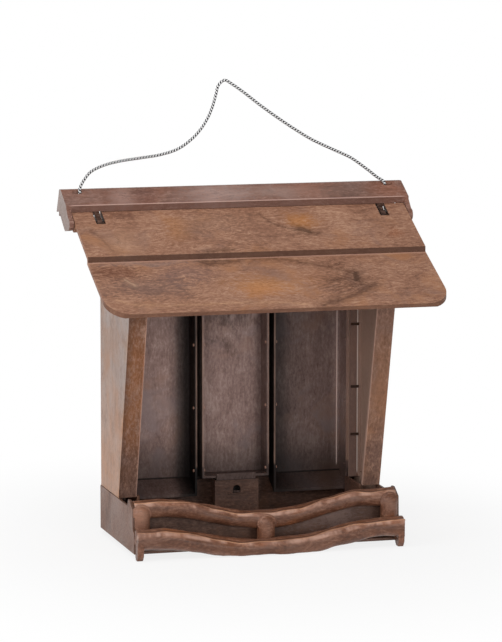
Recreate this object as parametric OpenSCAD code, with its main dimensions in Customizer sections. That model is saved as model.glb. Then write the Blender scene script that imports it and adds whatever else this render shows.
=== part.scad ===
// Bird feeder in moulded wood-effect plastic: a flat-backed house with three
// upright bays, a hinged stepped roof, a ridge cap with a hanging cord, and a
// seed tray with two sagging log-like perch rails.
// Heights are above the surface it stands on. Depths are measured forwards
// from the flat back.

/* [House] */
// Outer width across the two side walls
house_w = 215; // [200:1:230]
// Thickness of the side and back walls
wall_t = 3; // [2:0.5:4]
// Depth of a side wall at the top of the tray
wall_foot = 65; // [60:1:70]
// Forward lean of the front edge of a side wall, in degrees
wall_lean = 14; // [11:1:16]
// Width of the lip along the front edge of a side wall
lip_w = 14.5; // [11:0.5:17]
// Radius of the upright rear corners
corner_r = 8; // [5:0.5:10]
// Width of the return of a side wall across the back
return_w = 11.5; // [10:0.5:14]

/* [Bays] */
// Depth of a bay from the face of the back wall to its front edge
bay_depth = 19; // [15:0.5:21]
// Thickness of the bay mouldings
bay_t = 1.8; // [1.2:0.1:2.4]
// Outer width of the centre bay
centre_bay_w = 55.6; // [48:0.2:60]
// Gap between neighbouring bays
bay_gap = 4.2; // [3:0.2:6]
// Width of the out-turned flange of a side bay
bay_flange_w = 9.6; // [8:0.2:10]
// Height of the underside of the centre bay
centre_bay_z = 42.2; // [40.5:0.1:46]
// Height of the front edge of a side bay's floor
side_bay_z = 30.2; // [28:0.1:33]
// Fall of a side bay's floor from back to front
floor_fall = 11.7; // [8:0.1:14]
// Radius of the round nubs inside the bays
nub_r = 1.2; // [0.8:0.1:1.6]
// How far a nub stands out
nub_h = 1; // [0.6:0.1:1.4]
// Height of the lowest nub
nub_z = 48.5; // [47:0.5:52]
// Spacing of the nubs
nub_pitch = 51; // [45:1:60]

/* [Wall clips] */
// Width of a clip slot
slot_w = 7.4; // [5:0.2:8]
// Height of a clip slot
slot_h = 2.4; // [2:0.1:3.2]
// Play between a clip and its slot, all round
clip_play = 0.15; // [0.05:0.05:0.3]

/* [Roof] */
// Gap between the roof and each end plate of the cap
roof_gap = 0.6; // [0.3:0.1:1.2]
// Distance from the flat back to the front edge
roof_reach = 157.4; // [145:0.2:170]
// Thickness of the boards
roof_t = 3.5; // [3:0.1:4.5]
// Slope of the upper board, in degrees
upper_pitch = 27; // [25:0.5:29]
// Slope of the lower board, in degrees
lower_pitch = 25; // [22:0.5:27]
// Distance from the flat back to the step between the boards
step_at = 89.4; // [80:0.2:100]
// Drop at the step
step_drop = 4; // [2:0.1:6]
// Radius of the front corners
roof_corner_r = 20; // [8:1:30]

/* [Ridge cap] */
// Width of the cap over its end plates
cap_w = 282; // [280:0.5:300]
// Height of the ridge
ridge_z = 277; // [270:0.5:285]
// Thickness of the cap
cap_t = 2.5; // [2:0.1:3]
// Thickness of the end plates
end_t = 3.8; // [3.2:0.1:5]
// Distance from the flat back to the front face
cap_front = 33.4; // [32:0.2:35]
// Height of the front face
cap_face_h = 5; // [4:0.2:7]
// Slope of the front of the cap, in degrees
cap_pitch = 29; // [26:0.5:32]
// Width of the flat along the ridge
ridge_flat = 4.4; // [3:0.2:6]
// Distance from the flat back to the ridge
ridge_at = 9.6; // [8:0.2:11]
// Height of the rear slope
cap_drop = 18.7; // [17:0.1:20]

/* [Hinge] */
// Distance from the flat back to the hinge axis
hinge_at = 40; // [39:0.2:42]
// Drop from the lower edge of the cap to the hinge axis
hinge_drop = 8.85; // [8:0.05:9.5]
// Radius of the pivot pins and hinge bars
pin_r = 1.9; // [1.5:0.1:2.2]
// Running clearance of the pins
pin_play = 0.06; // [0.02:0.01:0.1]
// Distance from an end of the roof to the middle of its hinge notch
notch_inset = 20.3; // [16:0.1:24]
// Width of a hinge notch
notch_w = 7; // [6.4:0.1:9]
// Distance from the hinge axis to the front end of a notch
notch_front = 8.3; // [7.8:0.1:10]
// Width of a hinge hook
hook_w = 4.2; // [3.4:0.1:5.4]
// Outer radius of a hinge hook
hook_r = 4.1; // [3.5:0.1:4.3]
// Thickness of the ears under the roof
ear_t = 3.2; // [2.4:0.1:4]
// Radius of the outer ears
ear_r = 6.4; // [5:0.1:6.8]
// Radius of the ears beside a notch
notch_ear_r = 5; // [4:0.1:5.6]
// Radius of the cap's lugs round the pivots
lug_r = 4.8; // [4:0.1:5.5]

/* [Tray] */
// Height of the top of the tray's cheeks
cheek_z = 38.2; // [36:0.1:40]
// Thickness of the tray's cheeks and walls
tray_t = 2.2; // [1.6:0.1:2.8]
// Height of the underside of the tray
tray_z = 3.6; // [2:0.1:5]
// Thickness of the tray's floor
floor_t = 2.5; // [2:0.1:3.2]
// How far the cheeks stand out past the house
cheek_proud = 0.7; // [0.3:0.1:1.2]
// Gap between the trough's front wall and the flat back of the upper rail
front_gap = 0.6; // [0.3:0.1:2]
// Height of the front wall of the trough
front_wall_z = 30; // [20:0.2:30.4]
// Gap between a side wall's foot and the rib inside it
rib_gap = 0.4; // [0.2:0.1:0.8]

/* [Latch] */
// Outer width of the latch box
latch_w = 36.4; // [30:0.2:44]
// Distance that the latch box stands forward of the bays
latch_forward = 3.4; // [2.4:0.1:6]
// Depth of the latch box
latch_depth = 9.5; // [8:0.1:12]
// Gap between the latch box and the centre bay above it
latch_gap = 1.6; // [1:0.1:4]
// Thickness of the latch box walls
latch_t = 1.6; // [1.2:0.1:2]
// Radius of the arch of the latch window
window_r = 3.1; // [2.4:0.1:4]
// Drop from the top of the latch box to the middle of its window
window_drop = 7.6; // [6:0.1:9]
// Play between the tongue and the box
tongue_play = 0.4; // [0.2:0.05:0.6]
// Height of the tongue's thumb lip above the underside of the centre bay
thumb_h = 3.4; // [2:0.1:5]

/* [Rails] */
// Radius of the upper rail
upper_r = 7; // [5.5:0.1:7.4]
// Height of the axis of the upper rail at its ends
upper_z = 36.4; // [35:0.1:38]
// Distance from the flat back to the axis of the upper rail
upper_at = 105.6; // [104.5:0.1:107]
// Sag of the upper rail in the middle
upper_sag = 12.6; // [8:0.1:14]
// Distance from the middle to the end of the upper rail's sag
upper_sag_x = 77; // [68:1:84]
// Radius of the lower rail
lower_r = 8; // [6.5:0.1:8.2]
// Height of the axis of the lower rail at its ends
lower_z = 15.7; // [15:0.1:17]
// Distance that the lower rail's axis stands forward of the upper rail's
lower_step = 17.4; // [16.4:0.1:19]
// Sag of the lower rail in the middle
lower_sag = 12; // [8:0.1:13]
// Distance from the middle to the end of the lower rail's sag
lower_sag_x = 88; // [78:1:92]
// Depth of the square rear part of a rail's section
rail_back = 5; // [3:0.1:5]
// Radius of the stubs
stub_r = 7; // [5:0.1:7.2]
// Distance from the inside of a cheek to the axis of its end stub
stub_inset = 5.2; // [5:0.1:12]
// How far a stub stands forward of the upper rail's axis
stub_forward = 4.4; // [2:0.1:4.8]
// Thickness of the feet at the ends of the lower rail
foot_t = 4.8; // [3:0.1:6]

/* [Cord] */
// Diameter of the hanging cord
cord_d = 2.4; // [2:0.1:3]
// Distance from the middle to a cord hole
cord_hole_x = 128.2; // [127.4:0.1:128.8]
// Length of a cord hole
cord_hole_l = 7.8; // [6.6:0.1:8]
// Width of a cord hole
cord_hole_w = 4.3; // [3.4:0.1:5]

/* [Hidden] */

$fn = 64;
// Overlap that makes cuts run clear of a face
cut = 1;
// Gap that shows as the seam between pieces that are fitted together
seam = 0.2;

half_depth = roof_reach / 2;
house_x = house_w / 2;
cheek_x = house_x + cheek_proud;
cap_x = cap_w / 2;

// Ridge cap heights
cap_slope_run = cap_front - ridge_at - ridge_flat;
cap_edge_z = ridge_z - cap_slope_run * tan(cap_pitch);
cap_lip_z = cap_edge_z - cap_face_h;
cap_rear_z = ridge_z - cap_drop;
skirt_gap = 0.5;
skirt_drop = 3.2;
lug_x = cap_x - end_t;
roof_x = lug_x - roof_gap;
notch_x = roof_x - notch_inset;
// Height of the cap's lower edge at a distance from the flat back
function cap_rim(d) = cap_rear_z + (cap_lip_z - cap_rear_z) * d / cap_front;

// Hinge axis
hinge_z = cap_lip_z - hinge_drop;

// Roof planes, as heights over a distance from the flat back
roof_seam = 0.3;
roof_back = cap_front - seam;
roof_back_z = cap_lip_z - roof_seam;
function upper_top(d) = roof_back_z - (d - roof_back) * tan(upper_pitch);
function upper_under(d) = upper_top(d) - roof_t / cos(upper_pitch);
step_z = upper_top(step_at) - step_drop;
function lower_top(d) = step_z - (d - step_at) * tan(lower_pitch);
function lower_under(d) = lower_top(d) - roof_t / cos(lower_pitch);
under_step_at = step_at - roof_t;
// Distance of the roof's rear edge from the hinge axis
roof_swing = norm([hinge_at - roof_back, roof_back_z - hinge_z]);
swing_gap = 0.8;

// House
wall_gap = 0.4;
wall_top_z = cap_rear_z - 0.3;
wall_inner_x = house_x - wall_t;
bay_top_z = hinge_z - 6;
bay_front = wall_t + bay_depth;
centre_bay_x = centre_bay_w / 2;
side_bay_x0 = centre_bay_x + bay_gap;
side_bay_x1 = house_x - wall_t - bay_flange_w - 0.6;
flange_x1 = side_bay_x1 + bay_flange_w;
flange_front = bay_front + 0.9;
clip_rib_t = 2;
clip_zs = [73, 112, 163, 214];
slot_x = side_bay_x1 + bay_flange_w / 2 + 0.2;
back_half = house_x - return_w - seam / 2;
// Rise of the side wall's foot past the top of the cheek
foot_rise = 4;

// Cap fixing
cap_flange_t = 2.5;
cap_flange_z = bay_top_z + 0.6;
screw_inset = 15.9;
screw_xs = [for (s = [-1, 0, 1]) s * (back_half - screw_inset)];
screw_z = (cap_flange_z + cap_rear_z) / 2;
screw_r = 1.5;
screw_head_r = 3;
screw_head_h = 1.8;
screw_len = 8;

// Tray
tray_in_x = cheek_x - tray_t;
floor_z = tray_z + floor_t;
front_wall_t = 2.4;
lower_at = upper_at + lower_step;
lower_back = lower_at - rail_back;
upper_back = upper_at - rail_back;
// Depth of the tray from the flat back to the inside of its front wall
trough_depth = upper_back - front_gap - front_wall_t;
stub_x = tray_in_x - stub_inset;
tip_z = upper_z + upper_r + 0.3;
lip_inner_x = house_x - lip_w;
rib_t = 2.4;
rib_top = cheek_z + 1.2;
rib_back = flange_front + clip_rib_t + 2;
pad_w = 15;
pad_d = 14;
pad_at = 6;

// Latch
latch_x = latch_w / 2;
latch_front = bay_front + latch_forward;
latch_z = centre_bay_z - latch_gap;
window_z = latch_z - window_drop;
tongue_t = 2;
tongue_front = latch_front - latch_t - tongue_play;
tongue_x = latch_x - latch_t - tongue_play;
thumb_t = 1.4;
window_h = 3;

// Stub tops stand this far above the axis of the upper rail
stub_rise = 4.2;
foot_z = 0;

// Cord: route through the holes and up to the hanging point, knot to knot
cord_y = 61.6;
cord_z0 = 268.5;
cord_route = [
  [-126, cord_z0], [-126, 273], [-126, 278], [-123, 284], [-117, 291],
  [-106, 296], [-92, 299], [-76, 301], [-61, 303], [-47, 307],
  [-36, 314], [-28, 322], [-22, 331], [-18, 340], [-15, 350],
  [-13, 357], [-8, 361], [-2, 358], [8, 351], [21, 341],
  [35, 331], [50, 321], [65, 312], [82, 304], [97, 297],
  [110, 288], [119, 281], [125, 277], [126, 273], [126, cord_z0]
];
cord_sides = 8;
knot_r = 3.4;

roof_colour = [0.47, 0.31, 0.22];
cap_colour = [0.41, 0.27, 0.21];
wall_colour = [0.50, 0.36, 0.28];
bay_colour = [0.26, 0.20, 0.18];
tray_colour = [0.43, 0.30, 0.23];
rail_colour = [0.45, 0.30, 0.21];
steel_colour = [0.62, 0.62, 0.63];
cord_colour = [0.35, 0.35, 0.37];

// Moves the flat back to the rear of a frame centred on the whole depth
module placed() {
  translate([0, half_depth, 0]) children();
}

// Extrudes a side profile, drawn as [depth, height], from x0 to x1
module across(x0, x1) {
  translate([x0, 0, 0]) rotate([90, 0, 90]) linear_extrude(x1 - x0)
    mirror([1, 0]) children();
}

// A box given by its ranges in width, depth and height
module block(x0, x1, d0, d1, z0, z1) {
  translate([x0, -d1, z0]) cube([x1 - x0, d1 - d0, z1 - z0]);
}

// A cylinder along the width, centred on a depth and height
module rod(x0, x1, d, z, r) {
  translate([x0, -d, z]) rotate([0, 90, 0]) cylinder(r = r, h = x1 - x0);
}

// A cylinder that runs forwards from depth d0 to d1
module forward_rod(x, z, d0, d1, r) {
  translate([x, -d0, z]) rotate([90, 0, 0]) cylinder(r = r, h = d1 - d0);
}

module on_side(side) {
  if (side > 0) children();
  else mirror([1, 0, 0]) children();
}

// Plan outline of a flat-backed shape with two rounded rear corners
module plan_outline(half_w, r, depth) {
  translate([-half_w, -depth]) square([2 * half_w, depth - r]);
  translate([-(half_w - r), -depth]) square([2 * (half_w - r), depth]);
  for (s = [-1, 1]) translate([s * (half_w - r), -r]) intersection() {
    circle(r);
    translate([-r, 0]) square([2 * r, r]);
  }
}

// Plan of a thin wall that follows such an outline
module plan_wall(half_w, r, t, depth) {
  difference() {
    plan_outline(half_w, r, depth);
    translate([0, -t]) plan_outline(half_w - t, r - t, depth + cut);
  }
}

// Everything below the closed roof, behind the leaning front edge
module under_roof(front_offset) {
  front_foot = wall_foot - front_offset;
  front_top = front_foot + (ridge_z - cheek_z) * tan(wall_lean);
  intersection() {
    polygon([
      [0, 0], [front_foot, 0], [front_foot, cheek_z],
      [front_top, ridge_z], [0, ridge_z]
    ]);
    polygon([
      [0, 0], [roof_reach, 0], [roof_reach, lower_under(roof_reach) - wall_gap],
      [under_step_at - cut, lower_under(under_step_at - cut) - wall_gap],
      [under_step_at - cut, upper_under(under_step_at - cut) - wall_gap],
      [roof_back, upper_under(roof_back) - wall_gap],
      [roof_back - 4, wall_top_z], [0, wall_top_z]
    ]);
  }
}

// Drop of a sagging rail at a distance x from the middle
function sag_drop(x, sag, sag_x) =
  let (t = min(1, abs(x) / sag_x))
  sag * (1 - t * t) * (1 - t * t) * (1 + 0.35 * t * t);

// Swell of a log-like rail along its length
function swell(x) = 0.3 * sin(3.1 * x + 40) + 0.2 * sin(7.3 * x);

// A log-like rail that sags in the middle, flat behind and underneath
module sagging_rail(r, at, z, sag, sag_x, end_x) {
  rings = 33;
  sides = 20;
  points = [
    for (i = [0 : rings - 1])
      let (x = end_x * (2 * i / (rings - 1) - 1))
      for (k = [0 : sides - 1])
        let (a = (k + 0.5) * 360 / sides, reach = r + swell(x))
        [
          x, -at + min(rail_back, reach * cos(a)),
          max(seam, z - sag_drop(x, sag, sag_x) + reach * sin(a))
        ]
  ];
  walls = [
    for (i = [0 : rings - 2]) for (k = [0 : sides - 1])
      let (a = i * sides + k, b = i * sides + (k + 1) % sides)
      each [[a, a + sides, b + sides], [a, b + sides, b]]
  ];
  end = (rings - 1) * sides;
  // Each end is a fan of triangles from its foremost point
  tip = sides / 2;
  fan = [for (k = [1 : sides - 2]) [tip, (tip + k) % sides, (tip + k + 1) % sides]];
  left_end = fan;
  right_end = [for (t = fan) [end + t[0], end + t[2], end + t[1]]];
  polyhedron(points, concat(walls, left_end, right_end));
}

module upper_rail_solid() {
  sagging_rail(upper_r, upper_at, upper_z, upper_sag, upper_sag_x, tray_in_x);
}

module lower_rail_solid() {
  sagging_rail(lower_r, lower_at, lower_z, lower_sag, lower_sag_x,
    tray_in_x - foot_t / 2);
}

// Seed tray: cheeks, rear wall, floor, trough front and rear pads
module tray() {
  color(tray_colour) {
    // Rear wall with rounded corners
    translate([0, 0, tray_z]) linear_extrude(cheek_z - tray_z)
      plan_wall(cheek_x, corner_r, tray_t, corner_r + cut);
    // Floor, and the gutter that carries it on to the lower rail
    translate([0, 0, tray_z]) linear_extrude(floor_t)
      plan_outline(cheek_x, corner_r, lower_back);
    block(-tray_in_x - cut, tray_in_x + cut, trough_depth,
      trough_depth + front_wall_t, tray_z, front_wall_z);
    for (s = [-1, 1]) on_side(s) {
      // Cheek, with a tip that closes the end of the upper rail
      across(tray_in_x, cheek_x) polygon([
        [corner_r, tray_z], [lower_back, tray_z], [lower_back, lower_z + 4],
        [upper_at + upper_r + 0.6, lower_z + 7],
        [upper_at + upper_r, upper_z + 1.5],
        [upper_at - 3, tip_z], [upper_back - 2, tip_z],
        [upper_back - 4.5, cheek_z], [corner_r, cheek_z]
      ]);
      // Rib that keeps the foot of the side wall in place
      block(lip_inner_x - rib_gap - rib_t, lip_inner_x - rib_gap, rib_back,
        wall_foot, tray_z + cut, rib_top);
      block(lip_inner_x - pad_w, lip_inner_x, pad_at, pad_at + pad_d, 0,
        tray_z + cut);
    }
  }
}

// Open box on the tray floor that the snap tongue drops into
module latch_box() {
  color(tray_colour) difference() {
    union() {
      block(-latch_x, latch_x, latch_front - latch_depth, latch_front,
        floor_z, latch_z);
      block(-2.3 * window_r, 2.3 * window_r, latch_front - latch_t,
        latch_front + 0.8, window_z - window_h - 0.8, window_z - window_h);
    }
    block(-latch_x + latch_t, latch_x - latch_t,
      latch_front - latch_depth + latch_t, latch_front - latch_t,
      floor_z - cut, latch_z + cut);
    forward_rod(0, window_z, latch_front - latch_t - cut,
      latch_front + cut, window_r);
    block(-window_r, window_r, latch_front - latch_t - cut,
      latch_front + cut, window_z - window_h, window_z);
  }
}

module upper_rail() {
  color(rail_colour) upper_rail_solid();
}

// Lower rail with its end plates, which reach down as the front feet
module lower_rail() {
  color(rail_colour) {
    lower_rail_solid();
    for (s = [-1, 1]) on_side(s)
      across(cheek_x - foot_t - 0.4, cheek_x - 0.4) union() {
        intersection() {
          translate([lower_at, lower_z]) circle(lower_r);
          translate([lower_back, 0]) square([2 * lower_r, 2 * lower_z]);
        }
        polygon([
          [lower_back, lower_z + 4], [lower_back, 4],
          [lower_back + 3, foot_z], [lower_at + 3.4, foot_z],
          [lower_at + 6.2, 3.6], [lower_at + lower_r - 0.2, lower_z]
        ]);
      }
  }
}

// Short upright log between the rails that stands on the tray's floor
module stub(x) {
  top = upper_z - sag_drop(abs(x), upper_sag, upper_sag_x) + stub_rise;
  color(rail_colour) difference() {
    translate([x, -(upper_at + stub_forward), 0]) {
      translate([0, 0, floor_z]) cylinder(r = stub_r, h = top - stub_r - floor_z);
      translate([0, 0, top - stub_r]) sphere(stub_r);
    }
    upper_rail_solid();
    lower_rail_solid();
    block(x - 2 * stub_r, x + 2 * stub_r, 0, upper_at - seam,
      -upper_r, tip_z + upper_r);
    // Keeps the end stubs clear of the tray's cheeks
    for (s = [-1, 1]) on_side(s)
      block(tray_in_x - seam / 2, cheek_x + stub_r, 0, upper_at + upper_r + 0.7,
        0, tip_z + upper_r);
    for (s = [-1, 1]) on_side(s)
      block(tray_in_x - seam / 2, cheek_x + stub_r, 0, lower_back + seam,
        0, lower_z + 7.1);
  }
}

module left_stub() { stub(-stub_x); }
module centre_stub() { stub(0); }
module right_stub() { stub(stub_x); }

// Flat back of the house
module back_wall() {
  color(wall_colour) difference() {
    block(-back_half, back_half, 0, wall_t, cheek_z + seam, wall_top_z);
    for (x = screw_xs) {
      forward_rod(x, screw_z, -cut, wall_t + cut, screw_r + 0.2);
      forward_rod(x, screw_z, -cut, screw_head_h, screw_head_r + 0.1);
    }
  }
}

// Round nubs on an inner face of a bay, pointing along the width
module nubs(x0, x1) {
  for (i = [0 : 3])
    rod(x0, x1, bay_front - 2.2, nub_z + i * nub_pitch, nub_r);
}

module centre_bay() {
  inner = centre_bay_x - bay_t;
  color(bay_colour) {
    block(-centre_bay_x, centre_bay_x, wall_t, wall_t + bay_t,
      centre_bay_z, bay_top_z);
    block(-centre_bay_x, centre_bay_x, wall_t, bay_front,
      centre_bay_z, centre_bay_z + bay_t);
    for (s = [-1, 1]) on_side(s) {
      block(inner, centre_bay_x, wall_t, bay_front, centre_bay_z, bay_top_z);
      nubs(inner - nub_h, inner + bay_t / 2);
    }
  }
}

// Side bay on the right: web, two fins, sloping floor and slotted flange
module side_bay() {
  floor_drop = bay_t * 1.2;
  color(bay_colour) difference() {
    union() {
      across(side_bay_x0, side_bay_x1) polygon([
        [wall_t, side_bay_z + floor_fall], [bay_front, side_bay_z],
        [bay_front, side_bay_z - floor_drop],
        [wall_t, side_bay_z + floor_fall - floor_drop]
      ]);
      block(side_bay_x0, side_bay_x1, wall_t, wall_t + bay_t,
        side_bay_z + floor_fall - floor_drop, bay_top_z);
      for (x = [side_bay_x0, side_bay_x1 - bay_t])
        across(x, x + bay_t) polygon([
          [wall_t, side_bay_z + floor_fall - floor_drop],
          [bay_front, side_bay_z - floor_drop],
          [bay_front, bay_top_z], [wall_t, bay_top_z]
        ]);
      block(side_bay_x1 - bay_t, flange_x1, flange_front - bay_t,
        flange_front, cheek_z + foot_rise + seam, bay_top_z);
      nubs(side_bay_x0 + bay_t / 2, side_bay_x0 + bay_t + nub_h);
      nubs(side_bay_x1 - bay_t - nub_h, side_bay_x1 - bay_t / 2);
    }
    clip_slots();
  }
}

module left_bay() { on_side(-1) side_bay(); }
module right_bay() { side_bay(); }

// Tongue under the centre bay, with a thumb lip in front of the bay's floor and
// a tooth that snaps into the window
module snap_tongue() {
  tooth_x = window_r - 0.8;
  eye = 0.5;
  window_sill = window_z - window_h;
  tooth_top = window_sill + 1.3;
  color(bay_colour) {
    difference() {
      block(-tongue_x, tongue_x, tongue_front - tongue_t, tongue_front,
        window_sill - 3, centre_bay_z);
      // Eye behind the window, above the tooth
      forward_rod(0, window_z, tongue_front - tongue_t - cut, tongue_front + cut,
        window_r + eye);
      block(-window_r - eye, window_r + eye, tongue_front - tongue_t - cut,
        tongue_front + cut, tooth_top, window_z);
    }
    across(-tooth_x, tooth_x) polygon([
      [tongue_front - tongue_t, tooth_top], [tongue_front, tooth_top],
      [latch_front - latch_t / 2, window_sill + 0.8],
      [latch_front - latch_t / 2, window_sill + 0.4],
      [tongue_front - tongue_t / 2, window_sill + 0.4],
      [tongue_front - tongue_t, window_sill - 1]
    ]);
    // Foot of the thumb lip, under the bay's floor, and the lip itself
    block(-tongue_x, tongue_x, tongue_front - tongue_t, bay_front + thumb_t,
      centre_bay_z - 0.8, centre_bay_z);
    block(-tongue_x, tongue_x, bay_front, bay_front + thumb_t,
      centre_bay_z - 0.8, centre_bay_z + thumb_h);
  }
}

// Openings for the clips, through the bay flange and the wall's rib
module clip_slots() {
  for (z = clip_zs)
    block(slot_x - slot_w / 2, slot_x + slot_w / 2, bay_front - 2 * bay_t,
      flange_front + clip_rib_t + cut, z - slot_h / 2, z + slot_h / 2);
}

// Side wall on the right: skin, front lip, rear return, rib and foot
module side_wall() {
  color(wall_colour) difference() {
    union() {
      // Skin
      intersection() {
        across(wall_inner_x, house_x) under_roof(0);
        block(wall_inner_x, house_x, corner_r, roof_reach, cheek_z + seam, ridge_z);
      }
      // Lip along the leaning front edge
      intersection() {
        across(lip_inner_x, house_x) difference() {
          under_roof(0);
          under_roof(wall_t);
        }
        block(lip_inner_x, house_x, corner_r, roof_reach, cheek_z + seam, ridge_z);
      }
      // Rounded rear corner and return
      intersection() {
        translate([0, 0, cheek_z + seam])
          linear_extrude(wall_top_z - cheek_z - seam)
            plan_wall(house_x, corner_r, wall_t, corner_r + cut);
        block(house_x - return_w, house_x, -cut, corner_r + cut,
          cheek_z, ridge_z);
      }
      // Slotted rib in front of the bay's flange
      block(side_bay_x1 + 0.3, wall_inner_x + wall_t / 2, flange_front,
        flange_front + clip_rib_t, cheek_z + seam, bay_top_z - 4);
      // Foot that stands inside the tray's cheek
      block(tray_in_x - 2.4 - seam, tray_in_x - seam, corner_r + 2,
        wall_foot - wall_t, floor_z + seam / 2, cheek_z + foot_rise);
    }
    // Room for the rear edge of the roof as it swings
    rod(0, cap_x, hinge_at, hinge_z, roof_swing + swing_gap);
    clip_slots();
  }
}

module left_wall() { on_side(-1) side_wall(); }
module right_wall() { side_wall(); }

// Snap keys that hold the bay's flange to the wall's rib
module wall_clips() {
  key_w = slot_w - 2 * clip_play;
  key_h = slot_h - 2 * clip_play;
  color(bay_colour) for (z = clip_zs) {
    block(slot_x - key_w / 2, slot_x + key_w / 2, flange_front - bay_t - 1,
      flange_front + clip_rib_t - 0.6, z - key_h / 2, z + key_h / 2);
    block(slot_x - key_w / 2, slot_x + key_w / 2, flange_front - bay_t - 1.4,
      flange_front - bay_t, z - slot_h, z + slot_h);
  }
}

module left_wall_clips() { on_side(-1) wall_clips(); }
module right_wall_clips() { wall_clips(); }

// Outer and inner side profiles of the ridge cap
module cap_outer() {
  polygon([
    [0, cap_rear_z], [ridge_at, ridge_z], [ridge_at + ridge_flat, ridge_z],
    [cap_front, cap_edge_z], [cap_front, cap_lip_z]
  ]);
}

module cap_inner() {
  side = cap_t / cos(atan(ridge_at / cap_drop));
  run = cap_front - cap_t - ridge_at - ridge_flat;
  drop = cap_t / cos(cap_pitch);
  top = ridge_z - cap_t;
  start = ridge_at + ridge_flat + (cap_t - drop) / tan(cap_pitch);
  rear_slope = ridge_at / cap_drop;
  polygon([
    [side - cut * rear_slope, cap_rear_z - cut],
    [side + (top - cap_rear_z) * rear_slope, top], [start, top],
    [cap_front - cap_t, ridge_z - drop - run * tan(cap_pitch)],
    [cap_front - cap_t, cap_rear_z - cut]
  ]);
}

// End plate of the cap with the lug that holds a pivot pin
module cap_end() {
  cap_outer();
  polygon([
    [ridge_at, cap_rear_z + 1], [cap_front - cut, cap_edge_z - cut],
    [hinge_at, hinge_z + lug_r], [hinge_at, hinge_z - lug_r],
    [hinge_at - 11, hinge_z - lug_r - 1.6], [hinge_at - 20, hinge_z - 0.6]
  ]);
  translate([hinge_at, hinge_z]) circle(lug_r);
}

module ridge_cap() {
  color(cap_colour) difference() {
    union() {
      difference() {
        across(-lug_x - end_t / 2, lug_x + end_t / 2) cap_outer();
        across(-lug_x, lug_x) cap_inner();
      }
      for (s = [-1, 1]) on_side(s) across(lug_x, cap_x) cap_end();
      // Flange that is screwed to the back wall
      block(-back_half, back_half, wall_t, wall_t + cap_flange_t,
        cap_flange_z, cap_rear_z + 5);
      // Skirts that close the rear of the cap beside the house
      for (s = [-1, 1]) on_side(s)
        block(house_x + skirt_gap, lug_x + end_t / 2, 0.3, 0.3 + cap_t,
          cap_rear_z - skirt_drop, cap_rear_z + cut);
    }
    for (s = [-1, 1]) {
      // Cord hole
      for (e = [-1, 1])
        translate([s * cord_hole_x + e * (cord_hole_l - cord_hole_w) / 2,
          cord_y - half_depth, cap_edge_z - 2 * cut])
          cylinder(d = cord_hole_w, h = ridge_z);
      translate([s * cord_hole_x - (cord_hole_l - cord_hole_w) / 2,
        cord_y - half_depth - cord_hole_w / 2, cap_edge_z - 2 * cut])
        cube([cord_hole_l - cord_hole_w, cord_hole_w, ridge_z]);
      // Blind pivot hole
      on_side(s) rod(lug_x - cut, cap_x - 0.8, hinge_at, hinge_z,
        pin_r + pin_play);
    }
    for (x = screw_xs)
      forward_rod(x, screw_z, 0, wall_t + cap_flange_t + cut, screw_r);
  }
}

// Countersunk-flush screws that fix the cap's flange to the back wall
module cap_screws() {
  slot = screw_head_r * 1.2;
  color(steel_colour) for (x = screw_xs) difference() {
    union() {
      forward_rod(x, screw_z, 0, screw_head_h, screw_head_r);
      forward_rod(x, screw_z, screw_head_h / 2, screw_len, screw_r);
    }
    block(x - slot / 2, x + slot / 2, -cut, 0.9, screw_z - 0.4, screw_z + 0.4);
    block(x - 0.4, x + 0.4, -cut, 0.9, screw_z - slot / 2, screw_z + slot / 2);
  }
}

// Hook that reaches down from the cap and clasps the hinge bar
module hinge_hook() {
  mouth = 2 * pin_r * 0.82;
  x0 = notch_x - hook_w / 2;
  x1 = notch_x + hook_w / 2;
  color(cap_colour) difference() {
    union() {
      rod(x0, x1, hinge_at, hinge_z, hook_r);
      across(x0, x1) polygon([
        [cap_front - cap_t, cap_rim(cap_front - cap_t)],
        [cap_front - 0.4, cap_rim(cap_front - 0.4)],
        [hinge_at, hinge_z + hook_r * 0.7], [hinge_at - hook_r * 0.7, hinge_z]
      ]);
    }
    rod(x0 - cut, x1 + cut, hinge_at, hinge_z, pin_r + pin_play);
    // Mouth that the bar snaps in through, at the front and below
    across(x0 - cut, x1 + cut) translate([hinge_at, hinge_z]) rotate(-60)
      translate([0, -mouth / 2]) square([hook_r + cut, mouth]);
  }
}

module left_hinge_hook() { on_side(-1) hinge_hook(); }
module right_hinge_hook() { hinge_hook(); }

// Side profile of the roof's two boards
module roof_profile() {
  front_in = roof_t * sin(lower_pitch);
  polygon([
    [roof_back, upper_top(roof_back)], [step_at, upper_top(step_at)],
    [step_at, step_z], [roof_reach, lower_top(roof_reach)],
    [roof_reach - front_in, lower_under(roof_reach - front_in)],
    [under_step_at, lower_under(under_step_at)],
    [under_step_at, upper_under(under_step_at)],
    [roof_back, upper_under(roof_back)]
  ]);
}

// Side profile of an ear round the hinge axis, cut off at the roof's top
module ear_profile(r) {
  intersection() {
    union() {
      translate([hinge_at, hinge_z]) circle(r);
      polygon([
        [hinge_at - r, hinge_z], [hinge_at - r, upper_under(hinge_at - r) + cut],
        [hinge_at + r, upper_under(hinge_at + r) + cut]
      ]);
    }
    polygon([
      [roof_back - 5, upper_under(roof_back - 5) + roof_t / 2],
      [step_at, upper_under(step_at) + roof_t / 2], [step_at, 0],
      [roof_back - 5, 0]
    ]);
  }
}

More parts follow.
